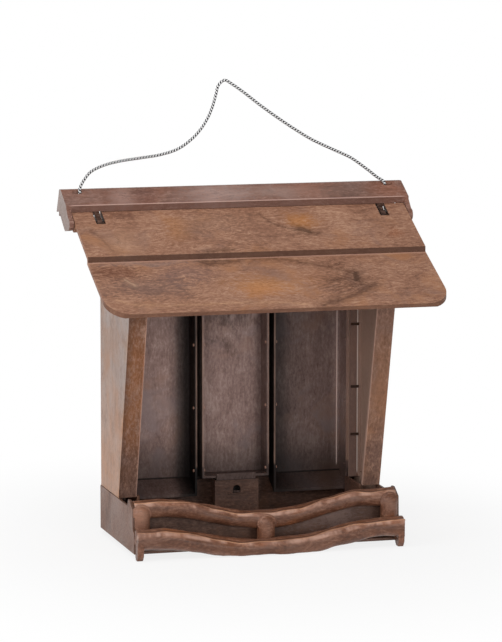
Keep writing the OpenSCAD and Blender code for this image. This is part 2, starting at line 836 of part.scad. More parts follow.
module roof_panel() {
  color(roof_colour) difference() {
    union() {
      intersection() {
        across(-roof_x, roof_x) roof_profile();
        // Plan with rounded front corners
        linear_extrude(ridge_z) mirror([0, 1])
          translate([0, roof_reach]) plan_outline(roof_x, roof_corner_r,
            roof_reach);
      }
      for (s = [-1, 1]) on_side(s) {
        across(roof_x - ear_t, roof_x) ear_profile(ear_r);
        across(notch_x - notch_w / 2 - ear_t, notch_x - notch_w / 2)
          ear_profile(notch_ear_r);
        across(notch_x + notch_w / 2, notch_x + notch_w / 2 + ear_t)
          ear_profile(notch_ear_r);
      }
    }
    for (s = [-1, 1]) on_side(s) {
      block(notch_x - notch_w / 2, notch_x + notch_w / 2, 0,
        hinge_at + notch_front, hinge_z - 2 * ear_r, ridge_z);
      rod(roof_x - ear_t - cut, roof_x + cut, hinge_at, hinge_z, pin_r);
      rod(notch_x - notch_w / 2 - ear_t - cut,
        notch_x + notch_w / 2 + ear_t + cut, hinge_at, hinge_z, pin_r);
    }
  }
}

// Bar across a notch, held in the ears on each side of it
module hinge_bar() {
  half = notch_w / 2 + ear_t;
  color(steel_colour) rod(notch_x - half, notch_x + half, hinge_at, hinge_z, pin_r);
}

module left_hinge_bar() { on_side(-1) hinge_bar(); }
module right_hinge_bar() { hinge_bar(); }

// Pin from the outer ear of the roof into the cap's lug
module pivot_pin() {
  color(steel_colour) rod(roof_x - ear_t, cap_x - 1.2, hinge_at, hinge_z, pin_r);
}

module left_pivot_pin() { on_side(-1) pivot_pin(); }
module right_pivot_pin() { pivot_pin(); }

// Point on the smooth cord route: a Catmull-Rom curve through the points
function route_point(i) = cord_route[max(0, min(len(cord_route) - 1, i))];
function route_at(i, t) =
  let (
    a = route_point(i - 1),
    b = route_point(i),
    c = route_point(i + 1),
    d = route_point(i + 2)
  )
  0.5 * (2 * b + (c - a) * t + (2 * a - 5 * b + 4 * c - d) * t * t
    + (3 * b - a - 3 * c + d) * t * t * t);
cord_path = [
  for (i = [0 : len(cord_route) - 2]) for (t = [0, 0.5]) route_at(i, t),
  cord_route[len(cord_route) - 1]
];

module hanging_cord() {
  last = len(cord_path) - 1;
  function heading(i) =
    let (d = cord_path[min(last, i + 1)] - cord_path[max(0, i - 1)])
    d / norm(d);
  points = [
    for (i = [0 : last]) let (h = heading(i)) for (k = [0 : cord_sides - 1])
      let (
        a = (k + 0.5) * 360 / cord_sides,
        out = cord_d / 2 * cos(a),
        side = cord_d / 2 * sin(a)
      )
      [
        cord_path[i][0] - h[1] * out,
        cord_y - half_depth + side,
        cord_path[i][1] + h[0] * out
      ]
  ];
  walls = [
    for (i = [0 : last - 1]) for (k = [0 : cord_sides - 1])
      let (
        a = i * cord_sides + k,
        b = i * cord_sides + (k + 1) % cord_sides
      )
      each [[a, b, b + cord_sides], [a, b + cord_sides, a + cord_sides]]
  ];
  first_cap = [for (k = [1 : cord_sides - 2]) [0, k + 1, k]];
  end = last * cord_sides;
  last_cap = [for (k = [1 : cord_sides - 2]) [end, end + k, end + k + 1]];
  color(cord_colour) polyhedron(points, concat(walls, first_cap, last_cap));
}

// Knot that stops the cord behind its hole, inside the cap
module cord_knot(x) {
  color(cord_colour) translate([x, cord_y - half_depth, cord_z0])
    difference() {
      sphere(knot_r);
      cylinder(r = cord_d, h = knot_r + cut);
    }
}

module left_cord_knot() { cord_knot(cord_route[0][0]); }
module right_cord_knot() { cord_knot(cord_route[len(cord_route) - 1][0]); }

placed() tray();
placed() latch_box();
placed() upper_rail();
placed() lower_rail();
placed() left_stub();
placed() centre_stub();
placed() right_stub();
placed() back_wall();
placed() left_bay();
placed() centre_bay();
placed() right_bay();
placed() snap_tongue();
placed() left_wall();
placed() right_wall();
placed() left_wall_clips();
placed() right_wall_clips();
placed() ridge_cap();
placed() cap_screws();
placed() left_hinge_hook();
placed() right_hinge_hook();
placed() roof_panel();
placed() left_hinge_bar();
placed() right_hinge_bar();
placed() left_pivot_pin();
placed() right_pivot_pin();
placed() hanging_cord();
placed() left_cord_knot();
placed() right_cord_knot();
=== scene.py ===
import math
from collections import namedtuple
import bpy
import bmesh
from mathutils import Matrix, Vector, noise


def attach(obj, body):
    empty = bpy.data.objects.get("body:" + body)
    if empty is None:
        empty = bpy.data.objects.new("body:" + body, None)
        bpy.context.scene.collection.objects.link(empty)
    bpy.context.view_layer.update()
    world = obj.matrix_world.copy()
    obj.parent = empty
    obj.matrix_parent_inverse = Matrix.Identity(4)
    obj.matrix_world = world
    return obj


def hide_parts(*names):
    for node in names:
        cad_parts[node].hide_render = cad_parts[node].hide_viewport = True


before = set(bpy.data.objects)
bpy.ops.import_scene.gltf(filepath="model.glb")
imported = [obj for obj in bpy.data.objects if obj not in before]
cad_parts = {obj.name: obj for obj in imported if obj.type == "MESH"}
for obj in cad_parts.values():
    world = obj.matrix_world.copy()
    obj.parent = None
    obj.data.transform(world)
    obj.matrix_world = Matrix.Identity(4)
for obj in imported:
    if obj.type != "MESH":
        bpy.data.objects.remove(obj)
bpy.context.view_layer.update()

MM = 0.001
# Y of the house's flat back and of the cord, in mm
BACK_Y = 78.7
CORD_Y = 61.6


def lin(r, g, b):
    """An sRGB colour, 0 to 255, as linear values."""
    def one(v):
        v = v / 255
        return v / 12.92 if v <= 0.04045 else ((v + 0.055) / 1.055) ** 2.4
    return (one(r), one(g), one(b), 1.0)


# Camera, fitted to the photograph: places in mm, angle in degrees

EYE = (-757.19, -2645.83, 562.59)
TARGET = (15.43, 66.31, 166.85)
LENS, SENSOR = 198.87, 36
ROLL = 0.06

cam = bpy.data.objects.new("camera", bpy.data.cameras.new("camera"))
bpy.context.collection.objects.link(cam)
eye = Vector(EYE) * MM
target = Vector(TARGET) * MM
cam.data.lens = LENS
cam.data.sensor_width = SENSOR
cam.data.clip_start = 0.05
cam.data.clip_end = 50
aim = (target - eye).to_track_quat("-Z", "Y")
cam.matrix_world = (Matrix.Translation(eye) @ aim.to_matrix().to_4x4()
                    @ Matrix.Rotation(math.radians(ROLL), 4, "Z"))
bpy.context.scene.camera = cam


# Helpers

def new_object(name, verts, faces):
    mesh = bpy.data.meshes.new(name)
    mesh.from_pydata(verts, [], faces)
    mesh.update()
    ob = bpy.data.objects.new(name, mesh)
    bpy.context.collection.objects.link(ob)
    for poly in mesh.polygons:
        poly.use_smooth = True
    return ob


def set_material(ob, mat):
    ob.data.materials.clear()
    ob.data.materials.append(mat)


class Graph:
    """Builds a procedural material; values may be numbers, colours or sockets."""

    def __init__(self, name):
        self.mat = bpy.data.materials.new(name)
        self.mat.use_nodes = True
        self.tree = self.mat.node_tree
        self.tree.nodes.clear()
        self.out = self.tree.nodes.new("ShaderNodeOutputMaterial")
        self.bsdf = self.tree.nodes.new("ShaderNodeBsdfPrincipled")
        self.tree.links.new(self.bsdf.outputs[0], self.out.inputs["Surface"])
        coord = self.tree.nodes.new("ShaderNodeTexCoord")
        self.pos = coord.outputs["Object"]
        self.uv = coord.outputs["UV"]
        self.normal = coord.outputs["Normal"]

    def put(self, socket, value):
        if isinstance(value, bpy.types.NodeSocket):
            self.tree.links.new(value, socket)
        elif isinstance(value, (int, float)):
            socket.default_value = value
        else:
            n = len(socket.default_value)
            socket.default_value = tuple(value)[:n]

    def math(self, op, a, b=0.0, c=0.0, clamp=False):
        n = self.tree.nodes.new("ShaderNodeMath")
        n.operation = op
        n.use_clamp = clamp
        for i, v in enumerate((a, b, c)):
            self.put(n.inputs[i], v)
        return n.outputs[0]

    def vec(self, op, a, b=(0, 0, 0), scale=None):
        n = self.tree.nodes.new("ShaderNodeVectorMath")
        n.operation = op
        self.put(n.inputs[0], a)
        self.put(n.inputs[1], b)
        if scale is not None:
            self.put(n.inputs["Scale"], scale)
        return n.outputs["Value"] if op in ("LENGTH", "DOT_PRODUCT") else n.outputs[0]

    def split(self, v):
        n = self.tree.nodes.new("ShaderNodeSeparateXYZ")
        self.put(n.inputs[0], v)
        return n.outputs[0], n.outputs[1], n.outputs[2]

    def noise(self, v, scale=1.0, detail=3.0, rough=0.5, distortion=0.0, colour=False):
        n = self.tree.nodes.new("ShaderNodeTexNoise")
        self.put(n.inputs["Vector"], v)
        n.inputs["Scale"].default_value = scale
        n.inputs["Detail"].default_value = detail
        n.inputs["Roughness"].default_value = rough
        n.inputs["Distortion"].default_value = distortion
        return n.outputs["Color"] if colour else n.outputs["Fac"]

    def map(self, v, lo, hi, to_lo=0.0, to_hi=1.0, smooth=True):
        n = self.tree.nodes.new("ShaderNodeMapRange")
        n.interpolation_type = "SMOOTHSTEP" if smooth else "LINEAR"
        self.put(n.inputs["Value"], v)
        n.inputs["From Min"].default_value = lo
        n.inputs["From Max"].default_value = hi
        n.inputs["To Min"].default_value = to_lo
        n.inputs["To Max"].default_value = to_hi
        return n.outputs["Result"]

    def mix(self, fac, a, b, blend="MIX"):
        n = self.tree.nodes.new("ShaderNodeMix")
        n.data_type = "RGBA"
        n.blend_type = blend
        self.put(n.inputs["Factor"], fac)
        self.put(n.inputs[6], a)
        self.put(n.inputs[7], b)
        return n.outputs[2]

    def ramp(self, v, lo, hi, stops):
        """Grey levels joined by straight lines; stops are at thousandths of v."""
        n = self.tree.nodes.new("ShaderNodeValToRGB")
        self.put(n.inputs[0], self.map(v, lo, hi, smooth=False))
        bar = n.color_ramp
        while len(bar.elements) > 1:
            bar.elements.remove(bar.elements[-1])
        for i, (at, level) in enumerate(stops):
            at = (at * MM - lo) / (hi - lo)
            stop = bar.elements[0] if i == 0 else bar.elements.new(at)
            stop.position = at
            stop.color = (level, level, level, 1)
        return n.outputs[0]

    def inside(self, p, centre, half, amount):
        """amount inside a box given in mm, and 0 outside it."""
        d = self.vec("SUBTRACT", p, tuple(c * MM for c in centre))
        d = self.vec("MULTIPLY", self.vec("ABSOLUTE", d), tuple(1 / (h * MM) for h in half))
        x, y, z = self.split(d)
        far = self.math("MAXIMUM", self.math("MAXIMUM", x, y), z)
        return self.map(far, 1.02, 0.98, 0, amount)

    def swing(self, v, k, base=0.0):
        """base plus k times how far a noise value is from its middle."""
        return self.math("MULTIPLY_ADD", self.math("SUBTRACT", v, 0.5), k, base)

    def line_distance(self, p, points):
        """Distance in mm from p, also in mm, to a line through points, seen from above."""
        nearest = None
        for a, b in zip(points, points[1:]):
            along = Vector((b[0] - a[0], b[1] - a[1], 0))
            d = self.vec("SUBTRACT", p, (a[0], a[1], 0))
            t = self.vec("DOT_PRODUCT", d, tuple(along / along.length_squared))
            t = self.math("ADD", t, 0.0, clamp=True)
            d = self.vec("SUBTRACT", d, self.vec("SCALE", tuple(along), scale=t))
            d = self.vec("LENGTH", d)
            nearest = d if nearest is None else self.math("MINIMUM", nearest, d)
        return nearest

    def bump(self, height, strength, distance):
        n = self.tree.nodes.new("ShaderNodeBump")
        n.inputs["Strength"].default_value = strength
        n.inputs["Distance"].default_value = distance
        self.put(n.inputs["Height"], height)
        self.tree.links.new(n.outputs[0], self.bsdf.inputs["Normal"])

    def finish(self, colour, rough, specular=0.5):
        self.put(self.bsdf.inputs["Base Color"], colour)
        self.put(self.bsdf.inputs["Roughness"], rough)
        self.bsdf.inputs["Specular IOR Level"].default_value = specular
        return self.mat


# Wood-effect mouldings

# Noise scales along and across the grain, and the streaks' share of them
GRAIN_ALONG, GRAIN_ACROSS = 260, 620
STREAK_ALONG, STREAK_ACROSS = 0.12, 0.42
# Where the noise of the warm clouds and of the cool haze is taken, in metres
CLOUD_PLACE = (0.31, 0.17, 0.05)
HAZE_PLACE = (0.11, 0.57, 0.35)
# How far a stroke wanders from its line, in mm, and the height of the bump in metres
STROKE_WOBBLE = 5.0
BUMP_HEIGHT = 0.0006
# How much fuller a rail's sag is than a plain bell
SAG_FULLNESS = 0.35
# Angles above a rail's front, in degrees, of its crease and of its painted highlight
CREASE_AT = 50
PAINTED_GLOSS_AT = 38
# Waves in the crease: run in mm, share of the seed, swing in degrees
CREASE_WAVES = ((9.3, 1.0, 6.0), (4.1, 2.0, 3.0), (23.0, 3.0, 5.0))
# Painted light and shade: half the brightness of a rail's surface over the angle above its
# front, in degrees
RAIL_PAINTED_LIGHT = [(-90, 0.5), (-60, 0.52), (-40, 0.57), (-12, 0.4), (8, 0.36), (22, 0.5),
             (34, 0.68), (44, 0.7), (56, 0.6), (75, 0.5), (120, 0.5)]
# Where across the bays, in mm, their front edges get a painted highlight
EDGE_HIGHLIGHT_PARTS = [(0, 0), (26.7, 0), (26.9, 1), (33.0, 1), (33.2, 0), (80, 0), (84, 1), (105, 1)]


def by_axis(axis, own, others):
    """Three values: own for the axis named, and others for the other two."""
    return tuple(own if name == axis else others for name in "xyz")


class Wood(Graph):
    """Wood-effect plastic: a mottled, flecked colour that marks are laid over in turn.

    palette is base, light, dark, warm and cool, as sRGB triples. grain is the axis that the
    grain runs along, warp is how far it sways in metres, and shift moves the whole pattern.
    """

    def __init__(self, name, palette, grain, warp, shift, contrast, mottle):
        super().__init__(name)
        base, self.light, self.dark, warm, cool = [lin(*c) for c in palette]
        self.contrast = contrast
        self.shift = shift
        self.x, self.y, self.z = self.split(self.pos)
        self.seat = self.vec("ADD", self.pos, shift)
        sway = self.centred(self.noise(self.seat, 30, 2, 0.5, 0.6, colour=True))
        self.swayed = self.vec("ADD", self.seat, self.vec("SCALE", sway, scale=warp))
        self.stretch = by_axis(grain, GRAIN_ALONG, GRAIN_ACROSS)
        self.fleck = self.layer((1, 1, 1), 3, 0.7)
        self.streak = self.layer(by_axis(grain, STREAK_ALONG, STREAK_ACROSS), 4, 0.6, 0.5)
        self.speck = self.layer((1.5, 1.2, 1.2), 2, 0.6, 0.0, 0.3)
        self.blotch = self.noise(self.seat, 34, 5, 0.62, 0.7)
        self.cloud = self.noise(self.vec("ADD", self.seat, CLOUD_PLACE), 24, 4, 0.58, 0.6)
        self.haze = self.noise(self.vec("ADD", self.seat, HAZE_PLACE), 30, 4, 0.58, 0.6)
        tone = self.swing(self.fleck, 1.5 * contrast, 0.5)
        tone = self.swing(self.streak, 0.8 * contrast, tone)
        tone = self.swing(self.blotch, 0.75 * mottle, tone)
        self.colour = self.mix(self.map(tone, 0.0, 0.5, smooth=False), self.dark, base)
        self.lay(self.map(tone, 0.5, 1.0, smooth=False), self.light)
        self.lay(self.map(self.cloud, 0.5, 0.72, 0, 0.6 * mottle), warm)
        self.lay(self.map(self.haze, 0.52, 0.72, 0, 0.55 * mottle), cool)
        self.grained = self.map(self.swing(self.fleck, 1.2, tone), -0.3, 1.3, 0.6, 1.4,
                                smooth=False)

    def centred(self, colour):
        """A noise colour as a vector about zero."""
        return self.vec("SUBTRACT", colour, (0.5, 0.5, 0.5))

    def layer(self, share, detail, rough, distortion=0.0, offset=0.0):
        """Noise stretched along the grain, share times as fine as the grain itself."""
        at = self.swayed
        if offset:
            at = self.vec("ADD", at, (offset, offset * 0.7, offset * 0.4))
        scales = tuple(s * k for s, k in zip(self.stretch, share))
        return self.noise(self.vec("MULTIPLY", at, scales), 1.0, detail, rough, distortion)

    def lay(self, mask, colour, blend="MIX"):
        self.colour = self.mix(mask, self.colour, colour, blend)

    def lay_grained(self, mask, tint):
        """Lays a tint through which the grain still shows."""
        self.lay(mask, self.vec("SCALE", lin(*tint)[:3], scale=self.grained))

    def lay_patches(self, patches, fray):
        """Soft ellipsoids: centre, radii, tint, amount. The grain frays their borders."""
        flat = self.vec("SCALE", self.swayed, scale=1000.0)
        for centre, radii, tint, amount in patches:
            d = self.vec("SUBTRACT", flat,
                         tuple(c + o * 1000 for c, o in zip(centre, self.shift)))
            d = self.vec("LENGTH", self.vec("MULTIPLY", d, tuple(1 / r for r in radii)))
            d = self.swing(self.fleck, fray, self.swing(self.blotch, 2.6, d))
            self.lay_grained(self.map(d, 0.1, 1.3, amount, 0.0), tint)

    def lay_bands(self, flat, points, spacing, centre, radii, tint, amount):
        """Marks that repeat beside a line within an ellipse; gives back the place."""
        d = self.line_distance(flat, points)
        flat = self.after(flat, d)
        wave = self.swing(self.streak, 7.0, self.math("MULTIPLY", d, 2 * math.pi / spacing))
        wave = self.math("SINE", wave)
        zone = self.vec("SUBTRACT", flat, (centre[0], centre[1], 0))
        zone = self.vec("LENGTH",
                        self.vec("MULTIPLY", zone, (1 / radii[0], 1 / radii[1], 0)))
        mask = self.math("MULTIPLY", self.map(wave, 0.1, 0.9),
                         self.map(zone, 0.4, 1.1, amount, 0.0))
        self.lay(mask, lin(*tint))
        return flat

    def lay_strokes(self, strokes, bands):
        """Thin marks on an unshifted pattern seen from above: points, width, tint, amount
        and the amount of the soft band beside them."""
        wobble = self.centred(self.noise(self.seat, 130, 3, 0.6, 0.4, colour=True))
        flat = self.vec("ADD", self.vec("SCALE", self.seat, scale=1000.0),
                        self.vec("SCALE", wobble, scale=STROKE_WOBBLE))
        flat = self.vec("MULTIPLY", flat, (1, 1, 0))
        ragged = self.swing(self.fleck, 2.4, self.swing(self.blotch, 2.2, 1.0))
        flat = self.lay_bands(flat, *bands)
        for points, width, tint, amount, halo in strokes:
            d = self.math("MULTIPLY", self.line_distance(flat, points), ragged)
            flat = self.after(flat, d)
            core = self.map(d, width * 0.15, width * 0.85, amount, 0.0)
            core = self.math("MAXIMUM", core, self.map(d, 0.0, width * 2.6, halo, 0.0))
            self.lay_grained(core, tint)

    def after(self, flat, d):
        """The same place, worked out after d.

        A vanishing share of one mark in the next one's place makes the renderer work them
        out one by one; all at once they don't fit in its memory for a material.
        """
        return self.vec("ADD", flat, self.vec("SCALE", d, scale=1e-7))

    def lay_specks(self):
        self.lay(self.map(self.speck, 0.63, 0.78, 0, 0.55 * self.contrast), self.light)
        self.lay(self.map(self.speck, 0.37, 0.22, 0, 0.6 * self.contrast), self.dark)

    def lay_fall(self, z0, z1, low):
        """Painted shade: darkens downwards from z1 to z0, to the share low."""
        shade = self.map(self.z, z0 * MM, z1 * MM)
        self.lay(1.0, self.mix(shade, (low, low, low, 1), (1, 1, 1, 1)), "MULTIPLY")

    def lay_shades(self, *stops):
        """Painted shade and light: multiplies by grey levels at places across X."""
        self.lay(1.0, self.ramp(self.x, -0.11, 0.11, stops), "MULTIPLY")

    def lay_painted_side_light(self, tint, amount):
        """Painted light: tints faces turned sideways, before the outer ones get their own
        tints.
        """
        turned = self.math("ABSOLUTE", self.split(self.normal)[0])
        self.lay(self.map(turned, 0.6, 0.85, 0, amount), lin(*tint))

    def lay_rim(self, pitch, front, tint, amount):
        """Paints shade on the edge, forward of y front, of a board that slopes by pitch
        degrees.
        """
        up = (0, -math.sin(math.radians(pitch)), math.cos(math.radians(pitch)))
        facing = self.math("ABSOLUTE", self.vec("DOT_PRODUCT", self.normal, up))
        mask = self.math("MULTIPLY", self.map(facing, 0.75, 0.35, 0, amount),
                         self.map(self.y, (front + 8) * MM, front * MM))
        self.lay(mask, lin(*tint))

    def lay_boxes(self, *boxes):
        """Tinted boxes: centre, half size, tint, amount; most are painted shade or painted
        highlights.
        """
        for centre, half, tint, amount in boxes:
            self.lay(self.inside(self.pos, centre, half, amount), lin(*tint))

    def lay_crease(self, depth, height, radius, sag, sag_x, seed):
        """Painted light and shade round a rail, spots of painted highlight, and a light line
        of painted highlight on its upper front, with painted shade in the dent.
        """
        t2 = self.math("MULTIPLY", self.math("MULTIPLY", self.x, self.x), (1000 / sag_x) ** 2)
        t2 = self.math("MINIMUM", t2, 1.0)
        rest = self.math("SUBTRACT", 1.0, t2)
        drop = self.math("MULTIPLY", self.math("MULTIPLY", rest, rest),
                         self.math("MULTIPLY_ADD", t2, SAG_FULLNESS * sag * MM, sag * MM))
        up = self.math("ADD", self.math("SUBTRACT", self.z, height * MM), drop)
        ahead = self.math("SUBTRACT", (BACK_Y - depth) * MM, self.y)
        turn = self.math("MULTIPLY", self.math("ARCTAN2", up, ahead), 180 / math.pi)
        # Painted light and shade: the rail's colour is made lighter or darker by the angle
        # above its front
        tone_and_painted_light = self.ramp(self.math("MULTIPLY", turn, MM), -0.09, 0.12, RAIL_PAINTED_LIGHT)
        tone_and_painted_light = self.mix(self.map(self.cloud, 0.35, 0.6, 0.35, 1.0), (0.5, 0.5, 0.5, 1), tone_and_painted_light)
        self.lay(1.0, tone_and_painted_light, "MULTIPLY")
        self.colour = self.vec("SCALE", self.colour, scale=2.0)
        # Painted highlight: pinkish spots in a band round the rail
        painted_gloss = self.math("ABSOLUTE", self.math("SUBTRACT", turn, PAINTED_GLOSS_AT))
        spots = self.noise(self.vec("MULTIPLY", self.pos, (1, 0.4, 0.4)), 75, 3, 0.6, 0.4)
        painted_gloss = self.math("MULTIPLY", self.map(painted_gloss, 4, 20, 0.75, 0),
                          self.map(spots, 0.4, 0.62))
        self.lay(painted_gloss, lin(188, 150, 132))
        off = self.math("SUBTRACT", turn, CREASE_AT)
        for run, share, swing_by in CREASE_WAVES:
            wave = self.math("MULTIPLY_ADD", self.x, 1000 / run, seed * share)
            wave = self.math("MULTIPLY", self.math("SINE", wave), swing_by)
            off = self.math("SUBTRACT", off, wave)
        off = self.math("MULTIPLY", off, radius * math.pi / 180)
        broken = self.math("MULTIPLY", self.swing(self.streak, 3.0, 0.8),
                           self.swing(self.cloud, 4.0, 0.8), clamp=True)
        # Painted highlight on the crease, and painted shade in the dent beside it
        painted_highlight = self.map(self.math("ABSOLUTE", off), 0.1, 0.9, 0.75, 0.0)
        deep = self.math("ABSOLUTE", self.math("SUBTRACT", off, 1.9))
        self.lay(self.map(deep, 0.3, 1.3, 0.5, 0.0), lin(66, 42, 31))
        self.lay(self.math("MULTIPLY", painted_highlight, broken), lin(196, 148, 116))

    def lay_edge_highlight(self, tint, front, floor_z, amount):
        """Painted highlight forward of y front and above floor_z, where EDGE_HIGHLIGHT_PARTS
        says.
        """
        mask = self.map(self.y, (front + 0.5) * MM, front * MM, 0, amount)
        mask = self.math("MULTIPLY", mask,
                         self.map(self.z, floor_z * MM, (floor_z + 3) * MM))
        across = self.math("ABSOLUTE", self.x)
        mask = self.math("MULTIPLY", mask, self.ramp(across, 0.0, 0.11, EDGE_HIGHLIGHT_PARTS))
        mask = self.math("MULTIPLY", mask, self.swing(self.streak, 2.4, 0.75), clamp=True)
        self.lay(mask, lin(*tint))

    def lay_outer(self, tints, at, amount, low_z, high_z):
        """Faces at and beyond x: a low and a high tint, a grey one that is a painted sheen,
        and a stain.
        """
        low, high, sheen_grey_tint, stain_tint = tints
        side = self.map(self.math("ABSOLUTE", self.x), (at - 0.35) * MM, (at - 0.05) * MM,
                        0, amount)
        level = self.swing(self.blotch, 1.6, self.map(self.z, low_z * MM, high_z * MM))
        tone_and_painted_light = self.mix(level, lin(*low), lin(*high))
        # Painted sheen: greyer patches where the plastic would reflect the light
        grey = self.swing(self.haze, 3.0, self.swing(self.cloud, 2.2, 0.5))
        grey = self.math("MULTIPLY", self.map(grey, 0.2, 1.1, 0, 0.6),
                         self.map(self.z, (low_z + 10) * MM, (high_z - 30) * MM, 0.3, 1.0))
        tone_and_painted_light = self.mix(grey, tone_and_painted_light, lin(*sheen_grey_tint))
        stain = self.noise(self.vec("MULTIPLY", self.swayed, (1, 1, 0.5)), 62, 5, 0.66, 0.9)
        tone_and_painted_light = self.mix(self.map(stain, 0.5, 0.3, 0, 0.6), tone_and_painted_light, lin(*stain_tint))
        tone_and_painted_light = self.mix(self.map(stain, 0.55, 0.72, 0, 0.4), tone_and_painted_light,
                        lin(*[c + 16 for c in high]))
        tone_and_painted_light = self.mix(self.map(self.swing(self.streak, 0.9, self.fleck), 0.55, 0.1, 0, 0.6),
                        tone_and_painted_light, lin(*stain_tint))
        self.lay(side, tone_and_painted_light)

    def finish_wood(self, rough, relief, specular):
        roughness = self.map(self.swing(self.fleck, 0.5, self.cloud), 0.3, 0.7,
                             rough + 0.1, rough - 0.08)
        self.bump(self.swing(self.streak, 1.2, self.fleck), 0.3 * relief, BUMP_HEIGHT)
        return self.finish(self.colour, roughness, specular)


def wood(name, palette, grain="x", warp=0.004, shift=(0, 0, 0), contrast=1.0, mottle=1.0,
         rough=0.5, relief=1.0, specular=0.2, patches=(), fray=3.0, strokes=(), bands=(),
         fall=(), shades=(), inner=(), rim=(), boxes=(), crease=(), edge=(), outer=()):
    """A wood-effect material; what each mark takes is said at its method of Wood."""
    g = Wood(name, palette, grain, warp, shift, contrast, mottle)
    g.lay_patches(patches, fray)
    if strokes:
        g.lay_strokes(strokes, bands)
    g.lay_specks()
    for lay, values in ((g.lay_fall, fall), (g.lay_shades, shades), (g.lay_painted_side_light, inner),
                        (g.lay_rim, rim), (g.lay_boxes, boxes), (g.lay_crease, crease),
                        (g.lay_edge_highlight, edge), (g.lay_outer, outer)):
        if values:
            lay(*values)
    return g.finish_wood(rough, relief, specular)


def metal(name, colour, rough):
    g = Graph(name)
    g.bsdf.inputs["Metallic"].default_value = 1.0
    scratch = g.noise(g.vec("MULTIPLY", g.pos, (120, 900, 900)), 1, 3, 0.6)
    tint = g.mix(g.map(scratch, 0.35, 0.7), lin(*colour), lin(*[c * 0.8 for c in colour]))
    g.bump(scratch, 0.1, 0.0002)
    return g.finish(tint, g.map(scratch, 0.3, 0.7, rough - 0.08, rough + 0.1))


# Cord

# The cord's radius and the length over which a strand winds round once, in mm, and how
# far the braid swells and sinks, as a share of the radius
CORD_R = 1.2
CORD_PITCH = 2.35
BRAID_SWING = 0.05
# The cord's route from hole to hole: x and z in mm
ROUTE = [
    (-126, 268.5), (-126, 273), (-126, 278), (-123, 284), (-117, 291),
    (-106, 296), (-92, 299), (-76, 301), (-61, 303), (-47, 307),
    (-36, 314), (-28, 322), (-22, 331), (-18, 340), (-15, 350),
    (-13, 357), (-8, 361), (-2, 358), (8, 351), (21, 341),
    (35, 331), (50, 321), (65, 312), (82, 304), (97, 297),
    (110, 288), (119, 281), (125, 277), (126, 273), (126, 268.5),
]


def cord_points(steps):
    """A smooth line through the route, with steps points from each place to the next."""
    pts = []
    n = len(ROUTE)
    for i in range(n - 1):
        a, b, c, d = [Vector(ROUTE[max(0, min(n - 1, j))]) for j in range(i - 1, i + 3)]
        for s in range(steps):
            t = s / steps
            q = (2 * b + (c - a) * t + (2 * a - 5 * b + 4 * c - d) * t * t
                 + (3 * b - a - 3 * c + d) * t ** 3) * 0.5
            pts.append(Vector((q[0] * MM, CORD_Y * MM, q[1] * MM)))
    last = ROUTE[-1]
    pts.append(Vector((last[0] * MM, CORD_Y * MM, last[1] * MM)))
    return pts


def resample(pts, step):
    """Points at even spacing along a line, with their distance from its start."""
    dist = [0.0]
    for a, b in zip(pts, pts[1:]):
        dist.append(dist[-1] + (b - a).length)
    count = int(dist[-1] / step)
    out, k = [], 0
    for i in range(count + 1):
        s = dist[-1] * i / count
        while k < len(dist) - 2 and dist[k + 1] < s:
            k += 1
        t = (s - dist[k]) / (dist[k + 1] - dist[k])
        out.append((pts[k].lerp(pts[k + 1], t), s))
    return out, dist[-1]


def braided_cord(name, pts, radius, step, sides, pitch):
    """Tube whose strands wind round it; UV holds the length in pitches and the turn."""
    line, length = resample(pts, step)
    verts, faces, uvs = [], [], []
    count = len(line)
    for i, (p, s) in enumerate(line):
        a = line[max(0, i - 1)][0]
        b = line[min(count - 1, i + 1)][0]
        head = (b - a).normalized()
        side = Vector((0, 1, 0))
        up = head.cross(side).normalized()
        for k in range(sides):
            turn = 2 * math.pi * k / sides
            phase = 2 * math.pi * s / pitch
            lobe = math.cos(turn * 2 + phase) * math.cos(turn * 2 - phase)
            r = radius * (1 - BRAID_SWING + BRAID_SWING * lobe)
            verts.append(p + (side * math.cos(turn) + up * math.sin(turn)) * r)
    for i in range(count - 1):
        for k in range(sides):
            k2 = (k + 1) % sides
            faces.append((i * sides + k, i * sides + k2,
                          (i + 1) * sides + k2, (i + 1) * sides + k))
            s0, s1 = line[i][1] / pitch, line[i + 1][1] / pitch
            t0, t1 = k / sides, (k + 1) / sides
            uvs.append([(s0, t0), (s0, t1), (s1, t1), (s1, t0)])
    faces.append(tuple(reversed(range(sides))))
    uvs.append([(0, 0)] * sides)
    faces.append(tuple((count - 1) * sides + k for k in range(sides)))
    uvs.append([(0, 0)] * sides)
    ob = new_object(name, verts, faces)
    layer = ob.data.uv_layers.new(name="wind")
    for poly, corner in zip(ob.data.polygons, uvs):
        for li, uv in zip(poly.loop_indices, corner):
            layer.data[li].uv = uv
    return ob, [p for p, s in line], length


def cord_material(name, tint=1.0):
    """Black blobs in rows on a near-white braid."""
    g = Graph(name)
    u, v, _ = g.split(g.uv)
    turn = g.math("MULTIPLY", v, 4 * math.pi)
    run = g.math("MULTIPLY", u, 2 * math.pi)
    blob = g.math("ADD", g.math("COSINE", g.math("ADD", run, turn)),
                  g.math("MULTIPLY", g.math("COSINE", g.math("SUBTRACT", run, turn)), 0.6))
    light = g.map(blob, -0.15, 0.25)
    fibre = g.noise(g.pos, 2600, 3, 0.6)
    pale = g.mix(g.map(fibre, 0.3, 0.7), lin(*[204 * tint] * 3), lin(*[240 * tint] * 3))
    black = g.mix(g.map(fibre, 0.3, 0.7), lin(12, 14, 17), lin(40, 43, 48))
    g.bump(fibre, 0.4, 0.0002)
    g.bsdf.inputs["Sheen Weight"].default_value = 0.15
    return g.finish(g.mix(light, black, pale), 0.8, 0.2)


cord, cord_path, cord_length = braided_cord(
    "cord", cord_points(steps=16), CORD_R * MM, step=0.3 * MM, sides=16,
    pitch=CORD_PITCH * MM)
set_material(cord, cord_material("cord_braid"))
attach(cord, "house")
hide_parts("hanging_cord")


# Materials: base, light, dark, warm and cool of each moulding

